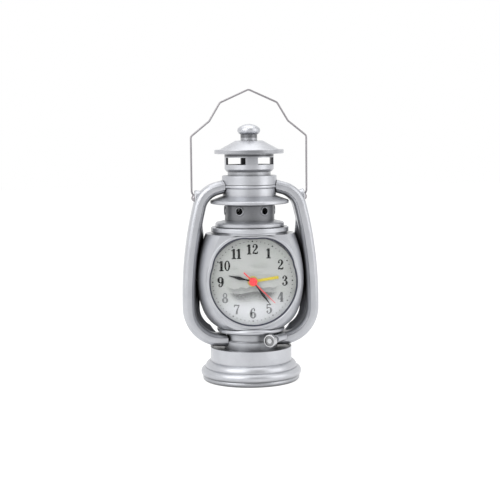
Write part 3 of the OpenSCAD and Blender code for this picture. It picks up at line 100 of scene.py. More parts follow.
def length(name, description, default, digits=5):
    """A length property in metres."""
    return FloatProperty(name=name, description=description, default=default, min=0.0, precision=digits,
                         subtype="DISTANCE", unit="LENGTH")


def colour(name, description, default):
    """A linear RGB colour property."""
    return FloatVectorProperty(name=name, description=description, default=default, size=3, min=0.0, max=1.0,
                               subtype="COLOR")


def share(name, description, default):
    """A number from 0 to 1."""
    return FloatProperty(name=name, description=description, default=default, min=0.0, max=1.0,
                         subtype="FACTOR")


def rotation(name, description, degrees):
    """An angle property, with its default in degrees."""
    return FloatProperty(name=name, description=description, default=math.radians(degrees), subtype="ANGLE",
                         unit="ROTATION")


def brightness(name, description, default):
    """A lamp's power or the strength of even light."""
    return FloatProperty(name=name, description=description, default=default, min=0.0)


def whole_number(name, description, default, least):
    """A count."""
    return IntProperty(name=name, description=description, default=default, min=least)


class LampFinish(bpy.types.PropertyGroup):
    """Colours and gloss of the lacquered mouldings."""

    silver: colour("Silver", "Lacquer on the mouldings", (0.63, 0.64, 0.67))
    silver_low: colour("Silver Flake", "Darker flakes in the lacquer", (0.46, 0.47, 0.50))
    # Painted shade: the chimney's darker tone stands for the shadow under the hood's skirt
    chimney: colour("Chimney", "Darker lacquer on the chimney", (0.24, 0.245, 0.26))
    wire: colour("Wire", "Drawn steel wire of the bail", (0.33, 0.315, 0.33))
    plated: colour("Plated", "Bright plating on the wick knob", (0.57, 0.575, 0.59))
    flake: length("Flake Size", "Size of a metal flake in the lacquer", 0.00018)
    ripple: length("Ripple Size", "Width of the slow waves in the lacquer", 0.0016)
    gloss: share("Roughness", "Roughness of the lacquer", 0.38)


class TubeShape(bpy.types.PropertyGroup):
    """Section and path of the side tubes."""

    width: length("Width", "Width seen from the front", 0.0087)
    depth: length("Depth", "Depth from front to back", 0.015)
    corner: length("Corner", "Radius of the section's corners", 0.0037)
    bead_width: length("Bead Width", "Width of the raised bead", 0.0042)
    bead_height: length("Bead Height", "Height of the raised bead", 0.0006)
    wall: length("Wall", "Thickness of the shells", 0.0015)
    low_radius: length("Lower Bend", "Outer radius of the lower bend", 0.0263)
    straight: length("Straight", "Straight stretch above the lower bend", 0.005)
    side_radius: length("Side Curve", "Outer radius of the long side curve", 0.27)
    side_angle: rotation("Side Angle", "Angle of the side curve", 14.2)
    top_radius: length("Shoulder Bend", "Outer radius of the shoulder bend", 0.0207)
    top_angle: rotation("Shoulder Angle", "Angle at which the shoulder bend ends", 75)
    low_meets: length("Collar Radius", "Radius of the burner collar that the tubes meet", 0.01835)
    top_meets: length("Hood Radius", "Radius of the hood's bead that the tubes meet", 0.01905)
    web: length("Web", "Width of the web inside a rear shell", 0.0033)
    web_lap: length("Web Lap", "How far the web reaches behind the edge of the globe", 0.0003)
    web_fade: length("Web Fade", "Height over which the web fades out at the top", 0.012)
    web_top: length("Web Top", "Height at which the web has faded out", 0.1103)
    globe: length("Globe Radius", "Widest radius of the globe", 0.0368)
    globe_up: length("Globe Upper Curve", "Radius of the globe's outline above its middle", 0.084)
    globe_low: length("Globe Lower Curve", "Radius of the globe's outline below its middle", 0.06)
    ear: length("Ear Radius", "Radius of an ear at its face", 0.0056)
    ear_root: length("Ear Root", "Radius of an ear at its root", 0.0044)
    ear_sink: length("Ear Sink", "Depth of an ear's root in the shoulder", 0.0055)
    ear_edge: length("Ear Edge", "Rounding of an ear's face", 0.0008)
    boss: length("Boss Radius", "Radius of the boss that carries the wick knob", 0.0029)
    boss_start: length("Boss Start", "Distance from the knob's face to the boss", 0.0085)
    boss_end: length("Boss End", "Distance from the knob's face to where the boss ends in the tube", 0.021)
    boss_edge: length("Boss Edge", "Rounding of the boss's edge", 0.0003)


class FinialShape(bpy.types.PropertyGroup):
    """Turned knob on the cap."""

    neck: length("Neck Radius", "Radius of the neck", 0.0057)
    head: length("Head Radius", "Radius of the head", 0.0078)
    edge: length("Edge", "Radius of the head's round edge", 0.0026)
    half: length("Half Height", "Half the height of the head", 0.0044)


class BailShape(bpy.types.PropertyGroup):
    """Route of the wire bail above its pivots."""

    wire: length("Wire", "Thickness of the wire", 0.0013)
    ball: length("Ball", "Radius of the ball at each end", 0.0024)
    ball_x: length("Ball Place", "Distance of a ball from the lamp's axis", 0.0375)
    ball_gap: length("Ball Gap", "Room round a ball in its socket", 0.0002)
    pin: length("Pin", "Radius of the pin beyond a ball", 0.0008)
    pin_length: length("Pin Length", "Length of the pin beyond a ball", 0.0026)
    lean: length("Lean", "Height over which the legs lean in to the balls", 0.004)
    half_width: length("Half Width", "Half the width between the legs", 0.0396)
    leg: length("Leg", "Height of the shoulders above the pivots", 0.0418)
    mid_x: length("Middle Half Width", "Half the width where the shoulders end", 0.027)
    mid_z: length("Middle Height", "Height where the shoulders end", 0.052)
    high_x: length("Upper Half Width", "Half the width of the second bend", 0.0195)
    high_z: length("Upper Height", "Height of the second bend", 0.0645)
    peak: length("Peak", "Height of the peak above the pivots", 0.0733)
    bend: length("Bend", "Radius of a bend in the wire", 0.0025)


class DialPrint(bpy.types.PropertyGroup):
    """Sizes and inks of the print on the dial."""

    numeral_height: length("Numeral Height", "Height of a numeral", 0.0069)
    numeral_ring: length("Numeral Ring", "Radius of the ring of numerals", 0.0219)
    dot_ring: length("Dot Ring", "Radius of the ring of minute dots", 0.0272)
    dot_big: length("Hour Dot", "Radius of a dot at an hour", 0.0005)
    dot_small: length("Minute Dot", "Radius of a dot at a minute", 0.0003)
    relief: length("Relief", "Thickness of the raised ink", 0.00004)
    dark_ink: colour("Dark Ink", "Ink of the upper numerals", (0.006, 0.006, 0.007))
    grey_ink: colour("Grey Ink", "Ink of the lower numerals", (0.17, 0.175, 0.185))
    # Painted light: the dial's ground is brighter below the middle
    low_ground: colour("Lower Ground", "Brighter ground below the middle", (0.65, 0.665, 0.69))
    ground: colour("Ground", "Silver-white ground of the dial", (0.465, 0.48, 0.47))


class OpeningShape(bpy.types.PropertyGroup):
    """Outline of the dial's opening, the dark edge of painted shade in it and the bead round it."""

    radius: length("Radius", "Radius of the opening", 0.03)
    corner: length("Corner", "Radius of the rounds at the upper corners", 0.0222)
    corner_x: length("Corner Across", "Distance of a corner round from the middle line", 0.006)
    corner_z: length("Corner Up", "Height of a corner round above the middle", 0.008)
    # Painted shade: the dark edge is a dark line laid where the gap between lens and opening is in shadow
    edge: length("Edge", "Width of the dark edge", 0.0010)
    edge_gap: length("Edge Gap", "Gap between the dark edge and the opening", 0.00004)
    edge_relief: length("Edge Relief", "Height of the dark edge above the lens", 0.0003)
    edge_foot: length("Edge Foot", "Height of the dark edge's foot above the lens", 0.00002)
    bead: length("Bead", "Half the width of the bead round the opening", 0.00085)
    bead_place: length("Bead Place", "Distance from the opening's edge to the middle of the bead", 0.00105)
    bead_relief: length("Bead Relief", "Height of the bead", 0.00045)
    bead_sink: length("Bead Sink", "Depth to which the bead's foot reaches into the globe", 0.00005)


class HoleShape(bpy.types.PropertyGroup):
    """Raised rims round the chimney's air holes."""

    count: whole_number("Holes", "Holes round the chimney", 6, 1)
    radius: length("Hole Radius", "Radius of a hole", 0.0023)
    rim: length("Rim Width", "Width of a rim", 0.0008)
    relief: length("Rim Relief", "Height of a rim above the chimney", 0.00055)
    height: length("Hole Height", "Height of the holes", 0.117)


class StudioLook(bpy.types.PropertyGroup):
    """Camera and lamps."""

    azimuth: rotation("Azimuth", "Camera's angle to the left of straight ahead", 6.4)
    distance: length("Distance", "Distance over the floor from the lamp's axis to the camera", 0.80)
    height: length("Camera Height", "Height of the camera above the table", 0.168)
    aim: length("Aim Height", "Height on the axis at the middle of the picture", 0.0894)
    roll: rotation("Roll", "Roll of the camera", 0.6)
    lens: FloatProperty(name="Lens", description="Focal length for a sensor 36 mm wide", default=84.1,
                        subtype="DISTANCE_CAMERA")
    key: brightness("Key", "Power of the large lamp at the left", 9.0)
    fill: brightness("Fill", "Power of the large lamp at the right", 4.0)
    top: brightness("Top", "Power of the lamp above", 4.0)
    front: share("Dark Front", "How much darker than white the metal sees the side of the camera", 0.55)
    sky: brightness("Sky", "Strength of the even light from all round", 0.55)


class RenderDetail(bpy.types.PropertyGroup):
    """How finely the round shapes are divided."""

    section: whole_number("Section Steps", "Steps round a corner of the tube", 10, 3)
    path: whole_number("Path Steps", "Steps along a bend of the tube", 36, 6)
    turn: whole_number("Turn Steps", "Steps round a turned shape", 128, 24)
    ball: whole_number("Ball Steps", "Steps round the bail's balls and pins", 48, 12)
    bead: whole_number("Bead Steps", "Steps across the bead round the opening", 8, 4)


# Mesh building


def grid_faces(rows, columns, wrap_rows=False, wrap_columns=True):
    """Quads between neighbouring rows and columns of a grid of points, as one array."""
    r = np.arange(rows if wrap_rows else rows - 1)
    c = np.arange(columns if wrap_columns else columns - 1)
    r, c = np.meshgrid(r, c, indexing="ij")
    r, c = r.ravel(), c.ravel()
    below, right = (r + 1) % rows, (c + 1) % columns
    here, next_row = r * columns, below * columns
    return np.stack([here + c, here + right, next_row + right, next_row + c], axis=1)


def sleeve_faces(rows, columns):
    """Quads between the rings of a sleeve, and one face across each of its ends, as a list."""
    ends = [list(range(columns)), list(range((rows - 1) * columns, rows * columns))]
    return grid_faces(rows, columns).tolist() + ends


def make_piece(name, points, faces, paint, slot, body="lamp", crisp=30.0, replaced=(), shade=None):
    """An object from arrays of points and faces that wears the finish named paint and rides on a body.
    The slot argument is not used. Doubled points are merged, faces turned outwards, and edges sharper than
    crisp degrees stay sharp. The shade of each point goes into an attribute of that name."""
    mesh = bpy.data.meshes.new(name)
    mesh.from_pydata(np.asarray(points, float).tolist(), [], [list(map(int, f)) for f in faces])
    if shade is not None:
        mesh.attributes.new("shade", "FLOAT", "POINT").data.foreach_set("value", shade)
    obj = bpy.data.objects.new(name, mesh)
    bpy.context.scene.collection.objects.link(obj)
    tidy_mesh(mesh)
    mesh.shade_smooth()
    mesh.set_sharp_from_angle(angle=math.radians(crisp))
    mesh.materials.append(bpy.data.materials[FINISH + paint])
    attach(obj, body)
    if replaced:
        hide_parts(*replaced)


def tidy_mesh(mesh, doubled=1e-6, flat=1e-7):
    """Merges doubled points, drops flat faces that this leaves, and turns all faces outwards."""
    bm = bmesh.new()
    bm.from_mesh(mesh)
    bmesh.ops.remove_doubles(bm, verts=bm.verts, dist=doubled)
    bmesh.ops.dissolve_degenerate(bm, edges=bm.edges, dist=flat)
    bmesh.ops.recalc_face_normals(bm, faces=bm.faces)
    bm.to_mesh(mesh)
    bm.free()


def turned(profile, steps):
    """Surface of revolution about +Z: each point (r, z) of a closed profile runs round a circle of radius r
    at height z. Returns points and faces."""
    profile = np.asarray(profile, float)
    angle = np.linspace(0, 2 * math.pi, steps, endpoint=False)
    r, z = profile[:, 0][:, None], profile[:, 1][:, None]
    points = np.stack([r * np.cos(angle), r * np.sin(angle), z + 0 * angle], axis=-1).reshape(-1, 3)
    return points, grid_faces(len(profile), steps, wrap_rows=True)


def joined(parts):
    """Several lists of points and quads as one."""
    offset = 0
    points, faces = [], []
    for part_points, part_faces in parts:
        points.append(np.asarray(part_points, float))
        faces.extend((np.asarray(f) + offset).tolist() for f in part_faces)
        offset += len(part_points)
    return np.concatenate(points), faces


def along_axis(points, origin, axis):
    """Points drawn about +Z, placed so that +Z lies along an axis through a point."""
    turn = np.array(Vector((0, 0, 1)).rotation_difference(Vector(axis)).to_matrix())
    return np.asarray(points) @ turn.T + np.asarray(origin)


# Node building


def new_material(name):
    """An empty node material, its Principled shader and its tree."""
    material = bpy.data.materials.new(FINISH + name)
    material.use_nodes = True
    tree = material.node_tree
    return material, tree.nodes["Principled BSDF"], tree


def node(tree, kind, inputs=None, **settings):
    """A node with its settings and the values or links of its inputs. A key is an input's name or number."""
    made = tree.nodes.new(kind)
    for key, value in settings.items():
        setattr(made, key, value)
    for key, value in (inputs or {}).items():
        feed(tree, made.inputs[key], value)
    return made


def feed(tree, socket, value):
    """Links a socket to a socket, or sets it to a value."""
    if isinstance(value, bpy.types.NodeSocket):
        tree.links.new(value, socket)
    elif isinstance(value, (tuple, list)) and len(value) == 3 and socket.type == "RGBA":
        socket.default_value = (*value, 1.0)
    else:
        socket.default_value = value


def calc(tree, operation, a, b=0.0, c=0.0, clamp=False):
    """Output of a Math node."""
    made = node(tree, "ShaderNodeMath", {0: a, 1: b}, operation=operation, use_clamp=clamp)
    if operation == "MULTIPLY_ADD":
        feed(tree, made.inputs[2], c)
    return made.outputs[0]


def product(tree, *values):
    """Product of several values."""
    result = values[0]
    for value in values[1:]:
        result = calc(tree, "MULTIPLY", result, value)
    return result


def swing(tree, value, width):
    """A value from 0 to 1, stretched to a width about zero."""
    return calc(tree, "MULTIPLY_ADD", value, width, -width / 2)


def vector_calc(tree, operation, a, b=(0.0, 0.0, 0.0)):
    """First output of a Vector Math node, or its value where the result is a number."""
    made = node(tree, "ShaderNodeVectorMath", {0: a, 1: b}, operation=operation)
    return made.outputs["Value" if operation in ("DOT_PRODUCT", "LENGTH") else "Vector"]


def parts_of(tree, vector):
    """X, Y and Z of a vector."""
    split = node(tree, "ShaderNodeSeparateXYZ", {0: vector}).outputs
    return split["X"], split["Y"], split["Z"]


def ramp(tree, value, low, high, out_low=0.0, out_high=1.0):
    """Smooth step of a value from low to high."""
    made = node(tree, "ShaderNodeMapRange",
                {"Value": value, "From Min": low, "From Max": high, "To Min": out_low, "To Max": out_high},
                interpolation_type="SMOOTHSTEP")
    return made.outputs["Result"]


def blend(tree, factor, a, b, mode="MIX"):
    """Mix of two colours."""
    made = node(tree, "ShaderNodeMix", data_type="RGBA", blend_type=mode)
    feed(tree, made.inputs[0], factor)
    feed(tree, made.inputs[6], a)
    feed(tree, made.inputs[7], b)
    return made.outputs[2]


def noise(tree, vector, scale, detail=2.0, roughness=0.5):
    """Value of a Noise texture."""
    made = node(tree, "ShaderNodeTexNoise",
                {"Vector": vector, "Scale": scale, "Detail": detail, "Roughness": roughness})
    return made.outputs[0]


def wave(tree, vector, direction, scale, distortion, detail=2.0):
    """Value of a Wave texture with bands across an axis."""
    made = node(tree, "ShaderNodeTexWave",
                {"Vector": vector, "Scale": scale, "Distortion": distortion, "Detail": detail},
                bands_direction=direction)
    return made.outputs[1]


def object_place(tree):
    """Object coordinates."""
    return node(tree, "ShaderNodeTexCoord").outputs["Object"]


def bump(tree, height, strength, distance):
    """Normal from a height."""
    made = node(tree, "ShaderNodeBump", {"Height": height, "Strength": strength, "Distance": distance})
    return made.outputs["Normal"]


def new_group(name, inputs, outputs):
    """A shader node group with named sockets: inputs are (name, type, default), outputs (name, type)."""
    group = bpy.data.node_groups.new(name, "ShaderNodeTree")
    for label, kind, default in inputs:
        socket = group.interface.new_socket(name=label, in_out="INPUT", socket_type=kind)
        if default is not None:
            socket.default_value = default
    for label, kind in outputs:
        group.interface.new_socket(name=label, in_out="OUTPUT", socket_type=kind)
    return group, group.nodes.new("NodeGroupInput").outputs, group.nodes.new("NodeGroupOutput").inputs


def use_group(tree, group, **values):
    """A node of a group. Keywords are its inputs, with _ for a space."""
    made = tree.nodes.new("ShaderNodeGroup")
    made.node_tree = group
    for key, value in values.items():
        feed(tree, made.inputs[key.replace("_", " ")], value)
    return made.outputs


# Effects as node groups


def group_lacquer():
    """Metallic lacquer. Each Voronoi cell is a flake whose brightness is its random number; slow noise
    mottles the colour and ripples the surface; recesses, found by ambient occlusion, take a darker tone as
    painted shade."""
    group, given, out = new_group("Metallic Lacquer", [
        ("Vector", "NodeSocketVector", None),
        ("Bright", "NodeSocketColor", (0.5, 0.5, 0.5, 1)),
        ("Dark", "NodeSocketColor", (0.4, 0.4, 0.4, 1)),
        ("Recess", "NodeSocketColor", (0.1, 0.1, 0.1, 1)),
        ("Flake Scale", "NodeSocketFloat", 5000.0),
        ("Ripple Scale", "NodeSocketFloat", 600.0),
        ("Base Roughness", "NodeSocketFloat", 0.35),
        ("Recess Reach", "NodeSocketFloat", 0.008),
    ], [("Color", "NodeSocketColor"), ("Roughness", "NodeSocketFloat"), ("Height", "NodeSocketFloat")])
    mottle_share, flake_share, flake_start, flake_height = 0.9, 0.5, -0.35, 0.05
    place = given["Vector"]
    flakes = node(group, "ShaderNodeTexVoronoi", {"Vector": place, "Scale": given["Flake Scale"]})
    flake = node(group, "ShaderNodeSeparateColor", {0: flakes.outputs["Color"]}).outputs[0]
    flake_tone = calc(group, "MULTIPLY_ADD", flake, flake_share, flake_start)
    mottle = noise(group, place, scale=90.0, detail=3.0)
    tone = calc(group, "MULTIPLY_ADD", mottle, mottle_share, flake_tone, clamp=True)
    paint = blend(group, tone, given["Dark"], given["Bright"])
    # Painted shade: ambient occlusion blends recesses towards the Recess tone
    hidden = node(group, "ShaderNodeAmbientOcclusion", {"Distance": given["Recess Reach"]}, samples=8)
    open_share = ramp(group, hidden.outputs["AO"], low=0.15, high=0.9)
    feed(group, out["Color"], blend(group, open_share, given["Recess"], paint))
    smear = swing(group, noise(group, place, scale=260.0, detail=4.0, roughness=0.6), width=0.16)
    feed(group, out["Roughness"], calc(group, "ADD", given["Base Roughness"], smear))
    ripple = noise(group, place, given["Ripple Scale"])
    feed(group, out["Height"], calc(group, "MULTIPLY_ADD", flake, flake_height, ripple))
    return group


def group_dim_places():
    """Places on the turned mouldings that are darkened: painted shade under the cap, under the skirt, at the
    front of the crown's post and of the brim and on the finial's neck, and a darker inside of the crown and
    ledge. Each is a band of the height z, bounded by the distance r from the axis or, at the front, by the
    ratio y / r, and its edges are soft. The darkest place counts where two meet."""
    group, given, out = new_group("Dim Places", [("Vector", "NodeSocketVector", None)],
                                  [("Dim", "NodeSocketFloat")])
    x, y, z = parts_of(group, given["Vector"])
    r = calc(group, "SQRT", calc(group, "MULTIPLY_ADD", x, x, calc(group, "MULTIPLY", y, y)))
    ahead = calc(group, "DIVIDE", y, r)
    crown, cap, finial = (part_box(name)[1] for name in ("vent_crown", "cap", "finial"))
    skin = 0.1 * MM

    def level(low, high, soft):
        return product(group, ramp(group, z, low, low + soft), ramp(group, z, high, high - soft))

    def within(distance):
        return ramp(group, r, distance, distance - skin)

    def front(start, full, most):
        return ramp(group, ahead, start, full, 0.0, most)

    # Painted shade under the cap and the skirt, at the front of the post and the brim and on the neck; the inside
    # of the crown and the ledge are darkened as well
    places = {
        "inside": (within(crown.x - skin), level(crown.z - 7.5 * MM, crown.z, soft=0.05 * MM)),
        "under_cap": (level(crown.z - 2.3 * MM, crown.z + 0.05 * MM, soft=1.1 * MM), 0.95),
        "under_skirt": (within(CHIMNEY_R + 0.4 * MM),
                        level(SKIRT_Z - 1.8 * MM, SKIRT_Z + skin, soft=0.9 * MM), 0.7),
        "post": (level(crown.z - 8.0 * MM, crown.z, soft=1.5 * MM), front(-0.80, -0.99, most=0.15)),
        "ledge": (within(LEDGE_R), level(LEDGE_Z - 0.2 * MM, LEDGE_Z + 0.2 * MM, soft=0.05 * MM), 0.45),
        "brim": (level(crown.z - skin, crown.z + 2.7 * MM, soft=0.4 * MM),
                 ramp(group, r, cap.x - 1.0 * MM, cap.x - 0.6 * MM), front(-0.55, -0.95, most=0.5)),
        "neck": (within(finial.x - 0.6 * MM),
                 level(finial.z - 10.2 * MM, finial.z - 6.5 * MM, soft=1.2 * MM), 0.75),
    }
    dim = 0.0
    for factors in places.values():
        dim = calc(group, "MAXIMUM", dim, product(group, *factors))
    feed(group, out["Dim"], dim)
    return group


def group_grain():
    """Fine grain of a moulded or rolled surface: noise tones the colour, roughens the gloss and gives the
    height."""
    group, given, out = new_group("Surface Grain", [
        ("Vector", "NodeSocketVector", None),
        ("Color", "NodeSocketColor", (0.5, 0.5, 0.5, 1)),
        ("Scale", "NodeSocketFloat", 900.0),
        ("Variation", "NodeSocketFloat", 0.15),
        ("Base Roughness", "NodeSocketFloat", 0.5),
    ], [("Color", "NodeSocketColor"), ("Roughness", "NodeSocketFloat"), ("Height", "NodeSocketFloat")])
    gloss_share = 0.3
    fine = noise(group, given["Vector"], given["Scale"], detail=4.0, roughness=0.65)
    broad = noise(group, given["Vector"], scale=70.0)
    level = calc(group, "ADD", swing(group, fine, width=0.6), swing(group, broad, width=0.8))
    level = calc(group, "MULTIPLY_ADD", level, given["Variation"], 1.0)
    tone = node(group, "ShaderNodeHueSaturation", {"Color": given["Color"], "Value": level})
    feed(group, out["Color"], tone.outputs["Color"])
    base = calc(group, "ADD", given["Base Roughness"], -gloss_share)
    feed(group, out["Roughness"], calc(group, "MULTIPLY_ADD", level, gloss_share, base, clamp=True))
    feed(group, out["Height"], fine)
    return group


def group_landscape():
    """Soft grey print of a lake below hills. In millimetres from the dial's centre, x to the right and v
    up: a far and a near ridge are lines v = level + noise(x), inked below the line and fading downwards;
    the near one has a ragged tree line; streaks of noise drawn out sideways make clouds above and ripples
    below."""
    group, given, out = new_group("Lake Landscape", [("Vector", "NodeSocketVector", None)],
                                  [("Ink", "NodeSocketFloat")])
    x, _, v = parts_of(group, given["Vector"])
    slope, edge = 0.10, 0.12

    def along(scale, shift, height, detail=2.0):
        line = node(group, "ShaderNodeCombineXYZ", {"X": calc(group, "MULTIPLY_ADD", x, scale, shift)})
        return swing(group, noise(group, line.outputs[0], 1.0, detail), height)

    def streaks(width, height, shift, low, high):
        place = node(group, "ShaderNodeCombineXYZ", {
            "X": calc(group, "MULTIPLY_ADD", x, 1 / width, shift),
            "Y": calc(group, "MULTIPLY", calc(group, "MULTIPLY_ADD", x, slope, v), 1 / height)})
        return ramp(group, noise(group, place.outputs[0], scale=1.0, detail=3.0), low, high)

    def ridge(level, reach, line, ink):
        depth = calc(group, "SUBTRACT", calc(group, "ADD", line, level), v)
        return product(group, ramp(group, depth, -edge, edge), ramp(group, depth, reach, 0.0), ink)

    hills = along(scale=0.11, shift=3.7, height=9.0)
    far = ridge(level=-4.2, reach=7.0, line=hills, ink=0.45)
    trees = calc(group, "ADD", along(scale=0.07, shift=11.2, height=5.0),
                 along(scale=1.1, shift=5.1, height=2.6, detail=4.0))
    leaves = noise(group, given["Vector"], scale=1.3, detail=3.0)
    leaves = ramp(group, leaves, 0.3, 0.7, out_low=0.5, out_high=1.15)
    near = product(group, ridge(level=-7.6, reach=9.0, line=trees, ink=0.95), leaves)
    water = product(group, streaks(width=9.0, height=0.75, shift=2.3, low=0.5, high=0.72),
                    ramp(group, v, -10.0, -12.5), 0.22)
    clouds = product(group, streaks(width=13.0, height=3.2, shift=8.1, low=0.42, high=0.75),
                     ramp(group, v, -3.0, 2.5), 0.20)
    ink = calc(group, "ADD", calc(group, "MAXIMUM", far, near), calc(group, "ADD", water, clouds))
    flat = node(group, "ShaderNodeCombineXYZ", {"X": x, "Y": v}).outputs[0]
    rim_fade = ramp(group, vector_calc(group, "LENGTH", flat), 19.5, 14.5)
    feed(group, out["Ink"], calc(group, "MULTIPLY", ink, rim_fade, clamp=True))
    return group


# Finishes


def principled(shader, **values):
    """Sets constants on the Principled shader's own sockets. Keywords are socket names, with _ for a
    space."""
    for key, value in values.items():
        socket = shader.inputs[key.replace("_", " ")]
        socket.default_value = (*value, 1.0) if socket.type == "RGBA" else value


def dress(tree, shader, tone, roughness, height, strength, distance):
    """Feeds the shader with a colour, a roughness and the normal of a height."""
    feed(tree, shader.inputs["Base Color"], tone)
    feed(tree, shader.inputs["Roughness"], roughness)
    feed(tree, shader.inputs["Normal"], bump(tree, height, strength, distance))


def toned(tone, share_left):
    """A colour darkened to a share of itself."""
    return tuple(share_left * c for c in tone)


def lacquer(name, group, places, look, bright, dark, rougher=0.0, reach=8 * MM):
    """Lacquer with flakes, mottling and painted shade in recesses. The dim places and a piece's own shade
    attribute darken it further."""
    material, shader, tree = new_material(name)
    principled(shader, Metallic=0.82, IOR=1.5, Coat_Weight=0.25, Coat_Roughness=0.12)
    place = object_place(tree)
    # Recess is the dark tone of the painted shade in recesses
    coat = use_group(tree, group, Vector=place, Bright=bright, Dark=dark, Recess=toned(dark, 0.22),
                     Flake_Scale=1 / look.flake, Ripple_Scale=1 / look.ripple,
                     Base_Roughness=look.gloss + rougher, Recess_Reach=reach)
    # Painted shade: the piece's shade attribute and the dim places blend the lacquer towards a dark tone
    shade = node(tree, "ShaderNodeAttribute", attribute_name="shade").outputs["Fac"]
    dim = calc(tree, "MAXIMUM", calc(tree, "MULTIPLY", shade, FULL_SHADE),
               use_group(tree, places, Vector=place)["Dim"])
    dress(tree, shader, blend(tree, dim, coat["Color"], toned(dark, 0.12)), coat["Roughness"], coat["Height"],
          strength=0.25, distance=0.08 * MM)
    return material


def plated_knob(name, group, look, tone):
    """Bright plating with a dark ring of painted shade for a groove in its face. The distance from the knob's
    axis is the square root of the squared length to a point on the axis less the squared length along it."""
    material, shader, tree = new_material(name)
    principled(shader, Metallic=1.0)
    place = object_place(tree)
    # Recess is the tone of painted shade in the knob's recesses
    coat = use_group(tree, group, Vector=place, Bright=tone, Dark=toned(tone, 0.9), Recess=toned(tone, 0.2),
                     Flake_Scale=1 / look.flake, Ripple_Scale=1 / look.ripple, Base_Roughness=0.26,
                     Recess_Reach=1.4 * MM)
    inner, outer, soft = 1.7 * MM, 3.5 * MM, 0.15 * MM
    face_start, face_end, ring_shade = 1.6 * MM, 1.2 * MM, 0.6
    off = vector_calc(tree, "SUBTRACT", place, tuple(KNOB_POINT))
    along = vector_calc(tree, "DOT_PRODUCT", off, tuple(KNOB_AXIS))
    full = vector_calc(tree, "DOT_PRODUCT", off, off)
    away = calc(tree, "SQRT", calc(tree, "SUBTRACT", full, calc(tree, "MULTIPLY", along, along)))
    # Painted shade: a dark ring on the face between the inner and the outer radius
    ring = product(tree, ramp(tree, away, inner - soft, inner + soft),
                   ramp(tree, away, outer + soft, outer - soft),
                   ramp(tree, calc(tree, "ABSOLUTE", along), face_start, face_end), ring_shade)
    plating = blend(tree, ring, coat["Color"], toned(tone, 0.08))
    dress(tree, shader, plating, coat["Roughness"], coat["Height"], strength=0.2, distance=0.05 * MM)
    return material


def grained(name, group, tone, roughness, metallic=0.0, scale=900.0, variation=0.15, relief=0.04,
            **constants):
    """Plain material with fine grain, whose relief is in millimetres."""
    material, shader, tree = new_material(name)
    principled(shader, Metallic=metallic, **constants)
    grain = use_group(tree, group, Vector=object_place(tree), Color=tone, Scale=scale, Variation=variation,
                      Base_Roughness=roughness)
    dress(tree, shader, grain["Color"], grain["Roughness"], grain["Height"],
          strength=0.4, distance=relief * MM)
    return material


def drawn_wire(name, group, tone):
    """Steel wire with fine lines drawn along it, by noise stretched along the height."""
    material, shader, tree = new_material(name)
    principled(shader, Metallic=1.0)
    place = node(tree, "ShaderNodeMapping", {"Vector": object_place(tree), "Scale": (6.0, 6.0, 0.25)})
    grain = use_group(tree, group, Vector=place.outputs[0], Color=tone, Scale=700.0, Variation=0.2,
                      Base_Roughness=0.36)
    dress(tree, shader, grain["Color"], grain["Roughness"], grain["Height"], strength=0.1, distance=0.01 * MM)
    return material


def dial_face(name, group_print, tone, lit_tone):
    """Silver-white dial with painted light that makes it brighter below, with speckle of fine noise, faint
    green clouds and the grey landscape print, all in millimetres about the dial's centre."""
    material, shader, tree = new_material(name)
    principled(shader, Metallic=0.25)
    print_ink, speckle_tone = (0.07, 0.073, 0.078), (0.84, 0.84, 0.84)
    green_tone, green_most = (0.86, 0.93, 0.84), 0.3
    smoothest, fine_share = 0.36, 0.3
    centred = node(tree, "ShaderNodeMapping", {"Vector": object_place(tree), "Location": (0, 0, -DIAL_Z / MM),
                                               "Scale": (1 / MM, 1 / MM, 1 / MM)}).outputs[0]
    height = parts_of(tree, centred)[2]
    # Painted light: the ground brightens towards the bottom of the dial
    lit = blend(tree, ramp(tree, height, -6.0, -20.0), tone, lit_tone)
    fine = noise(tree, centred, scale=2.2, detail=3.0, roughness=0.7)
    ground = blend(tree, ramp(tree, fine, 0.35, 0.68), blend(tree, 1.0, lit, speckle_tone, "MULTIPLY"), lit)
    green = ramp(tree, noise(tree, centred, scale=0.16), 0.45, 0.75, out_high=green_most)
    ground = blend(tree, green, ground, blend(tree, 1.0, ground, green_tone, "MULTIPLY"))
    ink = use_group(tree, group_print, Vector=centred)["Ink"]
    dress(tree, shader, blend(tree, ink, ground, print_ink),
          calc(tree, "MULTIPLY_ADD", fine, fine_share, smoothest), fine, strength=0.5, distance=0.05 * MM)
    return material


def clear_lens(name):
    """Clear moulded sheet. Shadow rays pass it, so the dial behind it is lit."""
    material, shader, tree = new_material(name)
    principled(shader, Base_Color=(1.0, 1.0, 1.0), Transmission_Weight=1.0, IOR=1.25, Roughness=0.02)
    waves = noise(tree, object_place(tree), scale=40.0)
    feed(tree, shader.inputs["Normal"], bump(tree, waves, strength=0.04, distance=0.2 * MM))
    clear = node(tree, "ShaderNodeBsdfTransparent")
    rays = node(tree, "ShaderNodeLightPath")
    mix = node(tree, "ShaderNodeMixShader",
               {0: rays.outputs["Is Shadow Ray"], 1: shader.outputs[0], 2: clear.outputs[0]})
    feed(tree, tree.nodes["Material Output"].inputs["Surface"], mix.outputs[0])
    return material


def wound_copper(name, group, tone):
    """Enamelled wire wound in fine turns across the coil's length."""
    material, shader, tree = new_material(name)
    principled(shader, Metallic=1.0, Coat_Weight=0.6, Coat_Roughness=0.1)
    place = object_place(tree)
    turns = wave(tree, place, "X", scale=900.0, distortion=0.4, detail=1.0)
    grain = use_group(tree, group, Vector=place, Color=tone, Scale=1500.0, Variation=0.4, Base_Roughness=0.3)
    dress(tree, shader, blend(tree, turns, grain["Color"], toned(tone, 0.45)), grain["Roughness"], turns,
          strength=0.6, distance=0.1 * MM)
    return material


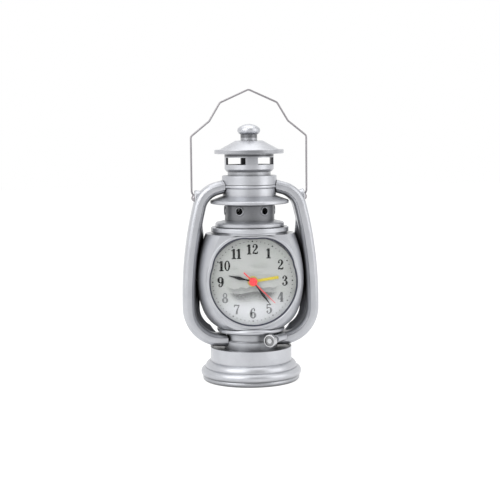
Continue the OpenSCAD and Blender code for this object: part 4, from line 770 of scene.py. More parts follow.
def circuit(name, group, tone, track):
    """Solder mask over copper tracks: tracks lie where the higher of two crossed wave patterns is near its
    crest."""
    material, shader, tree = new_material(name)
    principled(shader, Coat_Weight=0.4, Coat_Roughness=0.15)
    place = object_place(tree)
    crests = calc(tree, "MAXIMUM", wave(tree, place, "Z", scale=160.0, distortion=1.5),
                  wave(tree, place, "X", scale=110.0, distortion=2.0))
    tracks = ramp(tree, crests, 0.86, 0.92)
    grain = use_group(tree, group, Vector=place, Color=tone, Scale=1200.0, Variation=0.2, Base_Roughness=0.42)
    dress(tree, shader, blend(tree, tracks, grain["Color"], track), grain["Roughness"], tracks,
          strength=0.5, distance=0.06 * MM)
    return material


def cell_jacket(name, group, tone, band_tone):
    """Printed jacket of the battery: plain, with a paler band from a share of its height upwards."""
    material, shader, tree = new_material(name)
    principled(shader, Metallic=0.35, Coat_Weight=0.5, Coat_Roughness=0.08)
    place = object_place(tree)
    low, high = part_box("battery")
    band_start, soft = low.z + 0.72 * (high.z - low.z), 0.2 * MM
    band = ramp(tree, parts_of(tree, place)[2], band_start - soft, band_start + soft)
    grain = use_group(tree, group, Vector=place, Color=tone, Scale=700.0, Variation=0.15, Base_Roughness=0.34)
    dress(tree, shader, blend(tree, band, grain["Color"], band_tone), grain["Roughness"], grain["Height"],
          strength=0.2, distance=0.03 * MM)
    return material


def make_finishes(scene):
    """Every finish by its name: those of the record's slots, the tubes' lacquer, the inks and the gap shade."""
    look, ink = scene.lamp_finish, scene.lamp_dial
    coat, grain, lake, places = group_lacquer(), group_grain(), group_landscape(), group_dim_places()
    silver, silver_low, chimney = tuple(look.silver), tuple(look.silver_low), tuple(look.chimney)
    plain = {
        "steel": dict(tone=(0.50, 0.51, 0.52), roughness=0.36, metallic=1.0, scale=1400.0, variation=0.25),
        "hand_black": dict(tone=(0.008, 0.008, 0.010), roughness=0.5, scale=1800.0, variation=0.4,
                           relief=0.03, Specular_IOR_Level=0.15),
        "hand_red": dict(tone=(0.78, 0.035, 0.045), roughness=0.45, scale=1800.0),
        "hand_yellow": dict(tone=(0.55, 0.44, 0.025), roughness=0.45, scale=1800.0),
        "case_plastic": dict(tone=(0.80, 0.78, 0.72), roughness=0.52),
        "nylon": dict(tone=(0.84, 0.84, 0.80), roughness=0.44, Subsurface_Weight=0.2,
                      Subsurface_Scale=1 * MM),
        "magnet": dict(tone=(0.07, 0.07, 0.075), roughness=0.48, metallic=0.8),
        "wheel_brass": dict(tone=(0.70, 0.52, 0.22), roughness=0.34, metallic=1.0, scale=1500.0,
                            variation=0.25),
        "black_plastic": dict(tone=(0.022, 0.022, 0.024), roughness=0.5, scale=1500.0, variation=0.4,
                              relief=0.06),
        "ink_dark": dict(tone=tuple(ink.dark_ink), roughness=0.5, scale=2500.0, variation=0.5, relief=0.02,
                         Specular_IOR_Level=0.1),
        "ink_grey": dict(tone=tuple(ink.grey_ink), roughness=0.5, scale=2500.0, variation=0.5, relief=0.02),
        # Painted shade: the dark line laid in the gap between the lens and the opening
        "rubber": dict(tone=(0.055, 0.058, 0.085), roughness=0.5, scale=1500.0, variation=0.3),
    }
    finishes = {name: grained(name, grain, **values) for name, values in plain.items()}
    finishes.update({
        "silver_paint": lacquer("silver_paint", coat, places, look, silver, silver_low),
        "tube_paint": lacquer("tube_paint", coat, places, look, silver, silver_low, reach=3 * MM),
        # Painted shade: the chimney's darker tone stands for the shadow under the hood's skirt
        "grey_paint": lacquer("grey_paint", coat, places, look, chimney, toned(chimney, 0.75), rougher=0.08),
        "knob_chrome": plated_knob("knob_chrome", coat, look, tuple(look.plated)),
        "bail_wire": drawn_wire("bail_wire", grain, tuple(look.wire)),
        "lens_clear": clear_lens("lens_clear"),
        "dial_face": dial_face("dial_face", lake, tuple(ink.ground), tuple(ink.low_ground)),
        "copper_wire": wound_copper("copper_wire", grain, (0.62, 0.28, 0.12)),
        "board_green": circuit("board_green", grain, (0.03, 0.13, 0.05), (0.09, 0.24, 0.09)),
        "cell_jacket": cell_jacket("cell_jacket", grain, (0.10, 0.12, 0.17), (0.55, 0.56, 0.58)),
    })
    return finishes


class LAMPCLOCK_OT_paint_parts(bpy.types.Operator):
    """Make every finish and give each CAD node the one its record names."""

    bl_idname = "lampclock.paint_parts"
    bl_label = "Finishes"

    def execute(self, context):
        finishes = make_finishes(context.scene)
        for part in frame["record"]["subparts"]:
            obj = NODES[part["node"]]
            if not obj.material_slots:
                obj.data.materials.append(None)
            for slot in obj.material_slots:
                slot.material = finishes[part["material_slot"]]
        return {"FINISHED"}


# Side tubes


def tube_section(shape, steps):
    """Half the section of a tube as a closed loop of (across, depth): a flank, a corner round that ends at
    the foot of the bead, the bead, whose side rises as the fourth root of a sine, and the inner wall
    back."""
    half_w, half_d, r = shape.width / 2, shape.depth / 2, shape.corner
    bead, seam = shape.bead_width / 2, 0.12 * MM
    meet = math.acos((bead - half_w + r) / r)
    arc = np.linspace(0, meet, steps + 1)
    corner = np.stack([half_w - r + r * np.cos(arc), half_d - r + r * np.sin(arc)], axis=1)
    rise = np.array([0.03, 0.1, 0.25, 0.45, 0.7, 1.0])
    foot, top = corner[-1, 1], half_d + shape.bead_height
    climb = np.sin(rise * math.pi / 2) ** (1 / 4)
    side = np.stack([bead - shape.bead_height * rise, foot + (top - foot) * climb], axis=1)
    right = np.concatenate([[[half_w - seam, 0.0], [half_w, seam]], corner, side])
    outer = np.concatenate([right, (right * (-1, 1))[::-1]])
    quarter = np.linspace(0, math.pi / 2, steps + 1)
    inner_w, inner_d, r = half_w - shape.wall, half_d - shape.wall, shape.corner - shape.wall
    wall = np.stack([inner_w - r + r * np.cos(quarter), inner_d - r + r * np.sin(quarter)], axis=1)
    wall = np.concatenate([[[inner_w, 0.0]], wall])
    return np.concatenate([outer, wall * (-1, 1), wall[::-1]])


def tube_centres(shape):
    """Centres (x, z) of the three arcs of the path, which meet on tangents."""
    low = np.array([TUBE_HIGH.x - shape.low_radius, TUBE_LOW.z + shape.low_radius])
    side = np.array([TUBE_HIGH.x - shape.side_radius, low[1] + shape.straight])
    reach = shape.side_radius - shape.top_radius
    return low, side, side + reach * np.array([math.cos(shape.side_angle), math.sin(shape.side_angle)])


def tube_path(shape, steps):
    """Stations of the tube's path as arrays: centre x, centre z, outer radius and angle, along the lower
    bend, the long side curve and the shoulder bend."""
    low, side, top = tube_centres(shape)
    parts = [
        (low, shape.low_radius, np.linspace(-math.pi / 2, 0, steps)),
        (side, shape.side_radius, np.linspace(0, shape.side_angle, steps)),
        (top, shape.top_radius, np.linspace(shape.side_angle, shape.top_angle, steps)[1:]),
    ]
    return np.concatenate([np.stack([0 * a + c[0], 0 * a + c[1], 0 * a + r, a], axis=1) for c, r, a in parts])


def web_width(shape, x, z):
    """Width of a rear shell's web where its inner edge is at (x, z): the room up to the globe's outline, an
    arc above and one below its middle, up to the full width, and less towards the top."""
    curve = np.where(z > DIAL_Z, shape.globe_up, shape.globe_low)
    room = np.hypot(x - (shape.globe - curve), z - DIAL_Z) - curve + shape.web_lap
    return np.clip(room, 0, shape.web) * np.clip((shape.web_top - z) / shape.web_fade, 0, 1)


def tube_shade(shape, section):
    """Shade of each section point: full on the inner flank, fading out over the nearest quarter of the
    bead's width, and a soft line beside each foot of the bead."""
    bead = shape.bead_width / 2
    line_place, line_width, line_shade = bead + 0.5 * MM, 0.45 * MM, 0.4
    across, depth = section[:, 0], section[:, 1]
    flank = np.clip((-across - bead / 2) / (bead / 2), 0, 1)
    line = line_shade * np.exp(-((np.abs(across) - line_place) / line_width) ** 2)
    return np.maximum(flank, np.where(depth > shape.depth / 2 - shape.corner, line, 0))


def tube_half(shape, detail, side_x, side_y):
    """Half shell of a tube: each section point runs along the path at its own radius, and the two ends run
    on along the tangent until they meet a drum about the lamp's axis. A rear shell's flank reaches inwards
    by the web's width. Returns points, faces and shade."""
    section = tube_section(shape, detail.section)
    path = tube_path(shape, detail.path)
    cx, cz, outer, angle = (path[:, i][:, None] for i in range(4))
    bead, flank_place = shape.bead_width / 2, 0.4 * shape.width
    flank = np.clip((-section[:, 0] - bead) / (flank_place - bead), 0, 1)
    edge = outer - shape.width
    web = web_width(shape, cx + edge * np.cos(angle), cz + edge * np.sin(angle)) if side_y > 0 else 0 * cx
    depth = np.clip(section[:, 1] / (shape.depth / 2 - shape.corner), 0, 1)
    r = outer - shape.width / 2 + section[:, 0] - web * flank * depth
    x, z = cx + r * np.cos(angle), cz + r * np.sin(angle)
    y = np.broadcast_to(section[:, 1], x.shape)

    def butt(row, end_angle, drum):
        away = x[row] - np.sqrt(drum ** 2 - y[row] ** 2)
        return x[row] - away, y[row], z[row] + away / math.tan(end_angle)

    ends = butt(0, -math.pi / 2, shape.low_meets), butt(-1, shape.top_angle, shape.top_meets)
    x, y, z = (np.vstack([low, middle, high]) for low, middle, high in zip(ends[0], (x, y, z), ends[1]))
    points = np.stack([side_x * x, side_y * y, z], axis=-1).reshape(-1, 3)
    return points, sleeve_faces(*x.shape), np.tile(tube_shade(shape, section), len(x))


def ear_profile(shape, bail, steps=12):
    """Profile (r, x) of an ear: a cone that widens outwards to a rounded edge, with the socket of the
    bail's ball."""
    top = tube_centres(shape)[2]
    root = top[0] + math.sqrt(shape.top_radius ** 2 - (PIVOT_Z - top[1]) ** 2) - shape.ear_sink
    face, edge, socket = bail.ball_x + bail.ball_gap, shape.ear_edge, bail.ball + bail.ball_gap
    a = np.linspace(0, math.pi / 2, steps)
    rim = np.stack([shape.ear - edge + edge * np.cos(a), face - edge + edge * np.sin(a)], axis=1)
    b = np.linspace(math.acos(bail.ball_gap / socket), math.pi, 2 * steps)
    bowl = np.stack([socket * np.sin(b), bail.ball_x + socket * np.cos(b)], axis=1)
    return np.concatenate([[[0.0, root], [shape.ear_root, root]], rim, bowl])


def rounded_end(radius, edge, low, high, steps=8):
    """Profile of a pin from low to high whose upper edge is rounded, closed on the axis."""
    a = np.linspace(0, math.pi / 2, steps)
    arc = np.stack([radius - edge + edge * np.cos(a), high - edge + edge * np.sin(a)], axis=1)
    return np.concatenate([[[0.0, low], [radius, low]], arc, [[0.0, high]]])


class LAMPCLOCK_OT_mould_tubes(bpy.types.Operator):
    """Make the four half shells of the side tubes, the ears and the knob's boss."""

    bl_idname = "lampclock.mould_tubes"
    bl_label = "Side Tubes"

    def execute(self, context):
        shape, detail = context.scene.lamp_tube, context.scene.lamp_detail
        for side_x, word_x in ((-1, "left"), (1, "right")):
            for side_y, word_y in ((-1, "front"), (1, "rear")):
                points, faces, shade = tube_half(shape, detail, side_x, side_y)
                name = f"tube_{word_x}_{word_y}"
                make_piece(f"{name}_shell", points, faces, "tube_paint", "silver_paint", crisp=40.0,
                           replaced=(name,), shade=shade)
            points, faces = turned(ear_profile(shape, context.scene.lamp_bail), detail.turn // 2)
            points = along_axis(points, (0, 0, PIVOT_Z), (side_x, 0, 0))
            make_piece(f"ear_{word_x}", points, faces, "tube_paint", "silver_paint",
                       shade=np.full(len(points), EAR_SHADE))
        profile = rounded_end(shape.boss, shape.boss_edge, -shape.boss_end, -shape.boss_start)
        points, faces = turned(profile, detail.turn)
        points = along_axis(points, KNOB_POINT, KNOB_AXIS)
        make_piece("knob_boss", points, faces, "tube_paint", "silver_paint")
        return {"FINISHED"}


# Finial


def finial_profile(shape, low, high, steps=24):
    """Profile (r, z) of the knob on the cap: a neck and a head between two domes, each an arc on the axis
    that touches the round edge."""
    edge_r = shape.head - shape.edge
    dome = (edge_r ** 2 + shape.half ** 2 - shape.edge ** 2) / (2 * (shape.half - shape.edge))
    drop, middle = dome - shape.half, high - shape.half
    touch = math.atan2(drop, edge_r)
    neck = math.acos(shape.neck / dome)

    def arc(r, z, radius, start, end):
        a = np.linspace(start, end, steps)
        return np.stack([r + radius * np.cos(a), z + radius * np.sin(a)], axis=1)

    return np.concatenate([[[0.0, low], [shape.neck, low]], arc(0.0, middle + drop, dome, -neck, -touch),
                           arc(edge_r, middle, shape.edge, -touch, touch)[1:],
                           arc(0.0, middle - drop, dome, touch, math.pi / 2)[1:]])


class LAMPCLOCK_OT_turn_finial(bpy.types.Operator):
    """Turn the knob on the cap."""

    bl_idname = "lampclock.turn_finial"
    bl_label = "Finial"

    def execute(self, context):
        low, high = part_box("finial")
        profile = finial_profile(context.scene.lamp_finial, low.z, high.z)
        points, faces = turned(profile, context.scene.lamp_detail.turn)
        make_piece("finial_knob", points, faces, "silver_paint", "silver_paint", replaced=("finial",))
        return {"FINISHED"}


# Bail


def wire_route(shape, arc_step=math.radians(6), fewest=4):
    """Centreline of the bail as points: straight runs joined by arcs of the bend radius, each tangent to
    both runs."""
    corners = [(shape.ball_x, 0), (shape.half_width, shape.lean), (shape.half_width, shape.leg),
               (shape.mid_x, shape.mid_z), (shape.high_x, shape.high_z), (0, shape.peak)]
    corners += [(-x, z) for x, z in corners[-2::-1]]
    corners = np.array(corners)
    route = [corners[:1]]
    for before, here, after in zip(corners[:-2], corners[1:-1], corners[2:]):
        a, b = here - before, after - here
        a, b = a / np.linalg.norm(a), b / np.linalg.norm(b)
        turn = math.atan2(a[0] * b[1] - a[1] * b[0], a @ b)
        trim = shape.bend * math.tan(abs(turn) / 2)
        normal = math.copysign(1, turn) * np.array([-a[1], a[0]])
        centre = here - trim * a + shape.bend * normal
        sweep = np.linspace(0, turn, max(fewest, int(abs(turn) / arc_step)))[:, None]
        arm = -shape.bend * normal
        route.append(centre + np.concatenate([arm[0] * np.cos(sweep) - arm[1] * np.sin(sweep),
                                              arm[0] * np.sin(sweep) + arm[1] * np.cos(sweep)], axis=1))
    route.append(corners[-1:])
    return np.concatenate(route)


def wire_tube(route, radius, sides=20):
    """Round wire along a flat route in the xz plane: a circle across each point, square to the mean
    direction."""
    step = np.gradient(route, axis=0)
    step /= np.linalg.norm(step, axis=1)[:, None]
    across = np.stack([-step[:, 1], step[:, 0]], axis=1)
    angle = np.linspace(0, 2 * math.pi, sides, endpoint=False)
    x = route[:, 0][:, None] + radius * across[:, 0][:, None] * np.cos(angle)
    z = route[:, 1][:, None] + radius * across[:, 1][:, None] * np.cos(angle)
    y = np.broadcast_to(radius * np.sin(angle), x.shape)
    return np.stack([x, y, z], axis=-1).reshape(-1, 3), sleeve_faces(len(route), sides)


class LAMPCLOCK_OT_bend_bail(bpy.types.Operator):
    """Bend the wire bail over the hood."""

    bl_idname = "lampclock.bend_bail"
    bl_label = "Wire Bail"

    def execute(self, context):
        shape, steps = context.scene.lamp_bail, context.scene.lamp_detail.ball
        parts = [wire_tube(wire_route(shape), shape.wire / 2)]
        a = np.linspace(0, math.pi, 2 * steps // 3)
        ball = np.stack([shape.ball * np.sin(a), shape.ball_x - shape.ball * np.cos(a)], axis=1)
        pin_start = shape.ball_x - shape.ball - shape.pin_length
        pin = [[0.0, pin_start], [shape.pin, pin_start], [shape.pin, shape.ball_x], [0.0, shape.ball_x]]
        for side in (-1, 1):
            for profile in (ball, pin):
                points, faces = turned(profile, steps)
                parts.append((along_axis(points, (0, 0, 0), (side, 0, 0)), faces))
        points, faces = joined(parts)
        points[:, 2] += PIVOT_Z
        make_piece("bail_wire_bent", points, faces, "bail_wire", "bail_wire", body="bail", crisp=40.0,
                   replaced=("bail",))
        return {"FINISHED"}


# Dial print


def stroke(points, widths, steps=14, closest=1e-5):
    """A pen stroke: a smooth curve through points by Catmull-Rom, with a width that runs through the given
    widths, as a left and a right edge. Returns an array of (left, right) pairs."""
    data = np.column_stack([np.array(points, float), np.array(widths, float)])
    padded = np.vstack([2 * data[0] - data[1], data, 2 * data[-1] - data[-2]])
    t = np.linspace(0, 1, steps)[:, None]
    runs = []
    for p0, p1, p2, p3 in zip(padded[:-3], padded[1:-2], padded[2:-1], padded[3:]):
        runs.append(0.5 * (2 * p1 + (p2 - p0) * t + (2 * p0 - 5 * p1 + 4 * p2 - p3) * t ** 2
                           + (3 * p1 - p0 - 3 * p2 + p3) * t ** 3))
    line = np.vstack(runs)
    line = line[np.append(True, np.linalg.norm(np.diff(line[:, :2], axis=0), axis=1) > closest)]
    step = np.gradient(line[:, :2], axis=0)
    step /= np.linalg.norm(step, axis=1)[:, None]
    across = np.stack([-step[:, 1], step[:, 0]], axis=1) * (line[:, 2:3] / 2)
    return np.stack([line[:, :2] + across, line[:, :2] - across], axis=1)


def blob(x, z, radius, steps=12, open_angle=0.02):
    """A round end of a stroke, as pairs across a disc that stops short of a point at each end."""
    a = np.linspace(open_angle, math.pi - open_angle, steps)
    across, up = radius * np.cos(a), radius * np.sin(a)
    return np.stack([np.stack([x + across, z + up], axis=1), np.stack([x + across, z - up], axis=1)], axis=1)


def oval(x, z, rx, rz, thin, thick, steps=48):
    """A closed bowl whose stroke is thick at its sides and thin above and below."""
    a = np.linspace(0, 2 * math.pi, steps + 1)
    centre = np.stack([x + rx * np.cos(a), z + rz * np.sin(a)], axis=1)
    half = (thin + (thick - thin) * np.cos(a) ** 2)[:, None] / 2
    out = np.stack([np.cos(a) / rx, np.sin(a) / rz], axis=1)
    out /= np.linalg.norm(out, axis=1)[:, None]
    return np.stack([centre - out * half, centre + out * half], axis=1)


def bar(x0, z0, x1, z1, width):
    """A straight stroke."""
    return stroke([(x0, z0), (x1, z1)], (width, width), 2)


def digit_strokes(digit):
    """Strokes of a bold slab-serif figure in a box one unit high. Upright strokes are thick, level ones
    thin."""
    thick, thin = 0.235, 0.10
    six = [stroke([(0.47, 0.80), (0.45, 0.91), (0.33, 0.965), (0.18, 0.86), (0.115, 0.60), (0.12, 0.34)],
                  (thin, thin, thin, 0.13, thick, thick)),
           blob(0.44, 0.78, 0.085), oval(0.31, 0.31, 0.195, 0.275, thin, thick)]
    figures = {
        "0": [oval(0.31, 0.50, 0.20, 0.465, thin, 0.18)],
        "1": [bar(0.31, 0.03, 0.31, 0.97, thick), bar(0.09, 0.03, 0.53, 0.03, thin),
              stroke([(0.08, 0.79), (0.19, 0.84), (0.28, 0.96)], (thin, thin, 0.09))],
        "2": [blob(0.16, 0.73, 0.095),
              stroke([(0.11, 0.72), (0.15, 0.88), (0.31, 0.965), (0.45, 0.89), (0.485, 0.72), (0.40, 0.52),
                      (0.21, 0.30), (0.10, 0.10)], (0.10, 0.08, thin, 0.14, thick, 0.15, 0.11, 0.09)),
              stroke([(0.07, 0.08), (0.22, 0.11), (0.38, 0.08), (0.53, 0.09)], (0.14, 0.14, 0.15, 0.15)),
              bar(0.545, 0.04, 0.565, 0.26, thin)],
        "3": [blob(0.15, 0.77, 0.09),
              stroke([(0.11, 0.77), (0.16, 0.90), (0.29, 0.965), (0.43, 0.89), (0.455, 0.74), (0.37, 0.58),
                      (0.22, 0.535)], (0.09, 0.07, thin, 0.13, thick, 0.10, thin)),
              stroke([(0.22, 0.535), (0.40, 0.49), (0.495, 0.28), (0.43, 0.10), (0.27, 0.035), (0.13, 0.10),
                      (0.09, 0.22)], (thin, 0.11, thick, 0.13, thin, 0.07, 0.09)), blob(0.14, 0.22, 0.095)],
        "4": [bar(0.41, 0.03, 0.41, 0.97, thick), bar(0.38, 0.96, 0.03, 0.29, thin),
              bar(0.02, 0.27, 0.60, 0.27, 0.07), bar(0.24, 0.03, 0.58, 0.03, thin)],
        "5": [bar(0.12, 0.90, 0.51, 0.90, 0.13), bar(0.13, 0.95, 0.105, 0.50, thin),
              stroke([(0.11, 0.51), (0.21, 0.60), (0.32, 0.62), (0.46, 0.53), (0.50, 0.33), (0.44, 0.12),
                      (0.28, 0.035), (0.14, 0.09), (0.09, 0.21)],
                     (thin, thin, 0.08, 0.15, thick, 0.14, thin, 0.07, 0.09)), blob(0.14, 0.22, 0.095)],
        "6": six,
        "7": [stroke([(0.07, 0.91), (0.22, 0.93), (0.38, 0.89), (0.55, 0.93)], (0.14, 0.13, 0.13, 0.09)),
              bar(0.07, 0.97, 0.055, 0.74, thin),
              stroke([(0.54, 0.90), (0.40, 0.62), (0.30, 0.34), (0.26, 0.03)], (thin, 0.11, 0.17, 0.19))],
        "8": [oval(0.31, 0.745, 0.155, 0.215, thin, 0.14), oval(0.31, 0.275, 0.195, 0.235, thin, thick)],
        "9": [np.array([0.62, 1.0]) - strip for strip in six],
    }
    return figures[digit]


def strip_solid(strip, scale, place, back, front):
    """A thin closed plate from pairs of edge points: front face, back face and sides."""
    flat = strip.reshape(-1, 2) * scale + place
    count = len(strip)
    level = np.repeat([front, back], len(flat))
    xz = np.vstack([flat, flat])
    points = np.stack([xz[:, 0], level, xz[:, 1]], axis=1)
    i = np.arange(count - 1) * 2
    low = 2 * count
    faces = [np.stack([i, i + 1, i + 3, i + 2], axis=1), np.stack([i, i + 2, i + 3, i + 1], axis=1) + low,
             np.stack([i, i + 2, i + 2 + low, i + low], axis=1),
             np.stack([i + 1, i + 1 + low, i + 3 + low, i + 3], axis=1),
             np.array([[0, low, low + 1, 1], [low - 2, low - 1, 2 * low - 1, 2 * low - 2]])]
    return points, np.concatenate(faces).tolist()


class LAMPCLOCK_OT_print_dial(bpy.types.Operator):
    """Print the numerals and minute dots on the dial."""

    bl_idname = "lampclock.print_dial"
    bl_label = "Dial Print"

    def execute(self, context):
        ink = context.scene.lamp_dial
        front, back = DIAL_FRONT - ink.relief, DIAL_FRONT + ink.relief
        for tone, hours in (("dark", (9, 10, 11, 12, 1, 2, 3)), ("grey", (4, 5, 6, 7, 8))):
            parts = [part for hour in hours for part in self.numeral(ink, hour, back, front)]
            make_piece(f"numerals_{tone}", *joined(parts), f"ink_{tone}", "dial_face", crisp=40.0)
        grey_start, grey_end = 18, 42
        for tone, low in (("dark", False), ("grey", True)):
            parts = [self.dot(ink, minute, back, front) for minute in range(60)
                     if (grey_start < minute < grey_end) == low]
            make_piece(f"dots_{tone}", *joined(parts), f"ink_{tone}", "dial_face", crisp=40.0)
        return {"FINISHED"}

    def numeral(self, ink, hour, back, front):
        """Plates of one upright numeral centred on its place in the ring."""
        digits = str(hour)
        widths = [NARROW if digit == "1" else WIDE for digit in digits]
        angle, size = math.radians(30 * hour), ink.numeral_height
        centre = np.array([math.sin(angle), math.cos(angle)]) * ink.numeral_ring
        left = -sum(widths) / 2
        plates = []
        for digit, width in zip(digits, widths):
            shift = left + (width - FIGURE_BOX) / 2
            place = centre + np.array([shift * size, -size / 2 + DIAL_Z])
            plates += [strip_solid(strip, size, place, back, front) for strip in digit_strokes(digit)]
            left += width
        return plates

    def dot(self, ink, minute, back, front):
        """A raised round dot, as pairs across a disc."""
        angle = math.radians(6 * minute)
        radius = ink.dot_big if minute % 5 == 0 else ink.dot_small
        place = np.array([math.sin(angle), math.cos(angle)]) * ink.dot_ring + np.array([0, DIAL_Z])
        return strip_solid(blob(0, 0, radius), 1.0, place, back, front)


# Opening


def opening_outline(shape, grow, steps=240):
    """Outline of the dial's opening as (x, z) about the dial's centre: at each angle, the furthest of the
    main circle and the two corner rounds, all grown by the same length."""
    a = np.linspace(0, 2 * math.pi, steps, endpoint=False)
    ray = np.stack([np.cos(a), np.sin(a)], axis=1)
    reach = np.full(steps, shape.radius + grow)
    for side in (-1, 1):
        centre = np.array([side * shape.corner_x, shape.corner_z])
        along = ray @ centre
        inside = along ** 2 - centre @ centre + (shape.corner + grow) ** 2
        reach = np.maximum(reach, along + np.sqrt(np.maximum(inside, 0)))
    return ray * reach[:, None]


def opening_band(rings):
    """A closed band round the opening, from rings of an outline (x, z) about the dial's centre and its y."""
    points = np.concatenate([np.stack([outline[:, 0], 0 * outline[:, 0] + y, outline[:, 1] + DIAL_Z], axis=1)
                             for outline, y in rings])
    return points, grid_faces(len(rings), len(rings[0][0]), wrap_rows=True)


class LAMPCLOCK_OT_seat_lens(bpy.types.Operator):
    """Lay a dark line of painted shade round the opening, in the gap at the lens's edge."""

    bl_idname = "lampclock.seat_lens"
    bl_label = "Lens Edge"

    def execute(self, context):
        shape = context.scene.lamp_opening
        outer, inner = opening_outline(shape, -shape.edge_gap), opening_outline(shape, -shape.edge)
        low, high = LENS_FRONT - shape.edge_foot, LENS_FRONT - shape.edge_relief
        middle, half_up = (outer + inner) / 2, (low + high) / 2
        rings = [(outer, low), (inner, low), (inner, half_up), (middle, high), (outer, high)]
        # Painted shade: the dark band stands for the shadow in the gap at the lens's edge
        make_piece("lens_gasket", *opening_band(rings), "rubber", "silver_paint", crisp=50.0)
        return {"FINISHED"}


class LAMPCLOCK_OT_bead_opening(bpy.types.Operator):
    """Lay the low bead on the globe round the opening: half an ellipse carried along the outline."""

    bl_idname = "lampclock.bead_opening"
    bl_label = "Opening Bead"

    def execute(self, context):
        shape = context.scene.lamp_opening
        a = np.linspace(0, math.pi, context.scene.lamp_detail.bead + 1)
        rings = [(opening_outline(shape, shape.bead_place + across), GLOBE_FRONT + shape.bead_sink - up)
                 for across, up in zip(shape.bead * np.cos(a), shape.bead_relief * np.sin(a))]
        make_piece("opening_bead", *opening_band(rings), "silver_paint", "silver_paint", crisp=50.0)
        return {"FINISHED"}


# Air holes


def hole_rim(shape, angle, steps=48, section=12):
    """A ring laid on the chimney round one hole: an ellipse swept round the hole's middle, whose distance
    sideways becomes an angle about the lamp's axis and whose height becomes distance from that axis."""
    turn, tilt = np.meshgrid(np.linspace(0, 2 * math.pi, steps, endpoint=False),
                             np.linspace(0, 2 * math.pi, section, endpoint=False))
    away = shape.radius + shape.rim / 2 * (1 + np.cos(tilt))
    place = angle + away * np.cos(turn) / CHIMNEY_R
    r = CHIMNEY_R + shape.relief * np.sin(tilt)
    points = np.stack([r * np.sin(place), -r * np.cos(place), shape.height + away * np.sin(turn)], axis=-1)
    return points.reshape(-1, 3), grid_faces(section, steps, wrap_rows=True)


class LAMPCLOCK_OT_rim_holes(bpy.types.Operator):
    """Lay the raised rims round the chimney's air holes."""

    bl_idname = "lampclock.rim_holes"
    bl_label = "Air Hole Rims"

    def execute(self, context):
        shape = context.scene.lamp_holes
        step = 2 * math.pi / shape.count
        rims = joined([hole_rim(shape, step * (i + 0.5)) for i in range(shape.count)])
        make_piece("hole_rims", *rims, "silver_paint", "silver_paint", crisp=40.0)
        return {"FINISHED"}


# Studio


def aim_camera(look):
    """Camera at the photograph's viewing angle."""
    way = Vector((-math.sin(look.azimuth), -math.cos(look.azimuth), 0))
    place = look.distance * way + Vector((0, 0, look.height))
    target = Vector((0, 0, look.aim))
    data = bpy.data.cameras.new("camera")
    data.lens = look.lens
    data.sensor_width = 36.0
    data.clip_start, data.clip_end = 0.05, 20.0
    camera = bpy.data.objects.new("camera", data)
    turn = (target - place).to_track_quat("-Z", "Y").to_matrix().to_4x4()
    camera.matrix_world = Matrix.Translation(place) @ turn @ Matrix.Rotation(-look.roll, 4, "Z")
    bpy.context.scene.collection.objects.link(camera)
    bpy.context.scene.camera = camera


def area_lamp(name, place, size, power):
    """Large soft lamp aimed at the middle of the clock."""
    data = bpy.data.lights.new(name, "AREA")
    data.shape, data.size, data.size_y, data.energy = "RECTANGLE", size[0], size[1], power
    lamp = bpy.data.objects.new(name, data)
    lamp.location = place
    lamp.rotation_euler = (Vector(LAMP_AIM) - Vector(place)).to_track_quat("-Z", "Y").to_euler()
    bpy.context.scene.collection.objects.link(lamp)


def white_world(strength, front):
    """Even light. The camera and glass see plain white, and metal sees white that darkens towards the
    front."""
    world = bpy.data.worlds.new("studio")
    bpy.context.scene.world = world
    world.use_nodes = True
    tree = world.node_tree
    rays = node(tree, "ShaderNodeLightPath").outputs
    way = parts_of(tree, node(tree, "ShaderNodeTexCoord").outputs["Generated"])[1]
    seen_by_metal = ramp(tree, way, low=-0.2, high=-1.0, out_low=1.0, out_high=1.0 - front)
    mirrored = calc(tree, "SUBTRACT", seen_by_metal, strength)
    level = calc(tree, "MULTIPLY_ADD", rays["Is Glossy Ray"], mirrored, strength)
    direct = calc(tree, "MAXIMUM", rays["Is Camera Ray"], rays["Is Transmission Ray"])
    back = tree.nodes["Background"]
    feed(tree, back.inputs["Color"], (1.0, 1.0, 1.0))
    feed(tree, back.inputs["Strength"],
         calc(tree, "MULTIPLY_ADD", direct, calc(tree, "SUBTRACT", 1.0, level), level))


def pale_floor():
    """Pale floor that keeps the clock's shadow and reads as white elsewhere."""
    half, drop, glow = 3.0, 0.05 * MM, 0.84
    x, y = np.meshgrid([-half, half], [-half, half], indexing="ij")
    points = np.stack([x, y, 0 * x - drop], axis=-1).reshape(-1, 3)
    mesh = bpy.data.meshes.new("floor")
    mesh.from_pydata(points.tolist(), [], grid_faces(2, 2, wrap_columns=False).tolist())
    mesh.flip_normals()
    floor = bpy.data.objects.new("floor", mesh)
    bpy.context.scene.collection.objects.link(floor)
    material, shader, tree = new_material("floor_white")
    principled(shader, Base_Color=(0.35, 0.35, 0.35), Roughness=0.9, Specular_IOR_Level=0.0,
               Emission_Color=(1.0, 1.0, 1.0))
    rays = node(tree, "ShaderNodeLightPath").outputs
    direct = calc(tree, "MAXIMUM", rays["Is Camera Ray"], rays["Is Transmission Ray"])
    seen = calc(tree, "MAXIMUM", direct, rays["Is Glossy Ray"])
    feed(tree, shader.inputs["Emission Strength"], calc(tree, "MULTIPLY", seen, glow))
    mesh.materials.append(material)


class LAMPCLOCK_OT_set_studio(bpy.types.Operator):
    """Set up the floor, lamps, background and camera."""

    bl_idname = "lampclock.set_studio"
    bl_label = "Studio"

    def execute(self, context):
        look = context.scene.lamp_studio
        context.scene.view_settings.view_transform = "Standard"
        white_world(look.sky, look.front)
        pale_floor()
        for name, (place, size) in LAMPS.items():
            area_lamp(name, place, size, getattr(look, name))
        aim_camera(look)
        return {"FINISHED"}


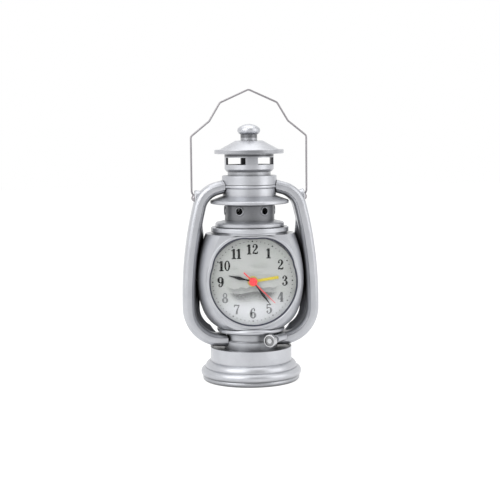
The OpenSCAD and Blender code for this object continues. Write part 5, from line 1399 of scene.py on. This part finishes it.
class LAMPCLOCK_PT_panel(bpy.types.Panel):
    """The clock's sizes, colours and steps."""

    bl_idname = "LAMPCLOCK_PT_panel"
    bl_label = "Lamp Clock"
    bl_space_type = "VIEW_3D"
    bl_region_type = "UI"
    bl_category = "Lamp Clock"

    def draw(self, context):
        layout = self.layout
        for operator in OPERATORS:
            layout.operator(operator.bl_idname)
        for key, group in GROUPS.items():
            box = layout.box()
            box.label(text=group.__doc__.rstrip("."))
            for name in group.__annotations__:
                box.prop(getattr(context.scene, key), name)


GROUPS = {
    "lamp_finish": LampFinish,
    "lamp_tube": TubeShape,
    "lamp_finial": FinialShape,
    "lamp_bail": BailShape,
    "lamp_dial": DialPrint,
    "lamp_opening": OpeningShape,
    "lamp_holes": HoleShape,
    "lamp_studio": StudioLook,
    "lamp_detail": RenderDetail,
}
OPERATORS = (
    LAMPCLOCK_OT_paint_parts,
    LAMPCLOCK_OT_mould_tubes,
    LAMPCLOCK_OT_turn_finial,
    LAMPCLOCK_OT_bend_bail,
    LAMPCLOCK_OT_print_dial,
    LAMPCLOCK_OT_seat_lens,
    LAMPCLOCK_OT_bead_opening,
    LAMPCLOCK_OT_rim_holes,
    LAMPCLOCK_OT_set_studio,
)


def register():
    """Registers the groups of values, the operators and the panel."""
    for key, group in GROUPS.items():
        bpy.utils.register_class(group)
        setattr(bpy.types.Scene, key, PointerProperty(type=group))
    for item in (*OPERATORS, LAMPCLOCK_PT_panel):
        bpy.utils.register_class(item)


def unregister():
    """Takes back what register did, in the opposite order."""
    for item in (LAMPCLOCK_PT_panel, *reversed(OPERATORS)):
        bpy.utils.unregister_class(item)
    for key, group in GROUPS.items():
        delattr(bpy.types.Scene, key)
        bpy.utils.unregister_class(group)


def main():
    """Registers the classes and makes every piece in order."""
    register()
    bpy.ops.lampclock.paint_parts()
    bpy.ops.lampclock.mould_tubes()
    bpy.ops.lampclock.turn_finial()
    bpy.ops.lampclock.bend_bail()
    bpy.ops.lampclock.print_dial()
    bpy.ops.lampclock.seat_lens()
    bpy.ops.lampclock.bead_opening()
    bpy.ops.lampclock.rim_holes()
    bpy.ops.lampclock.set_studio()


if __name__ == "__main__":
    main()
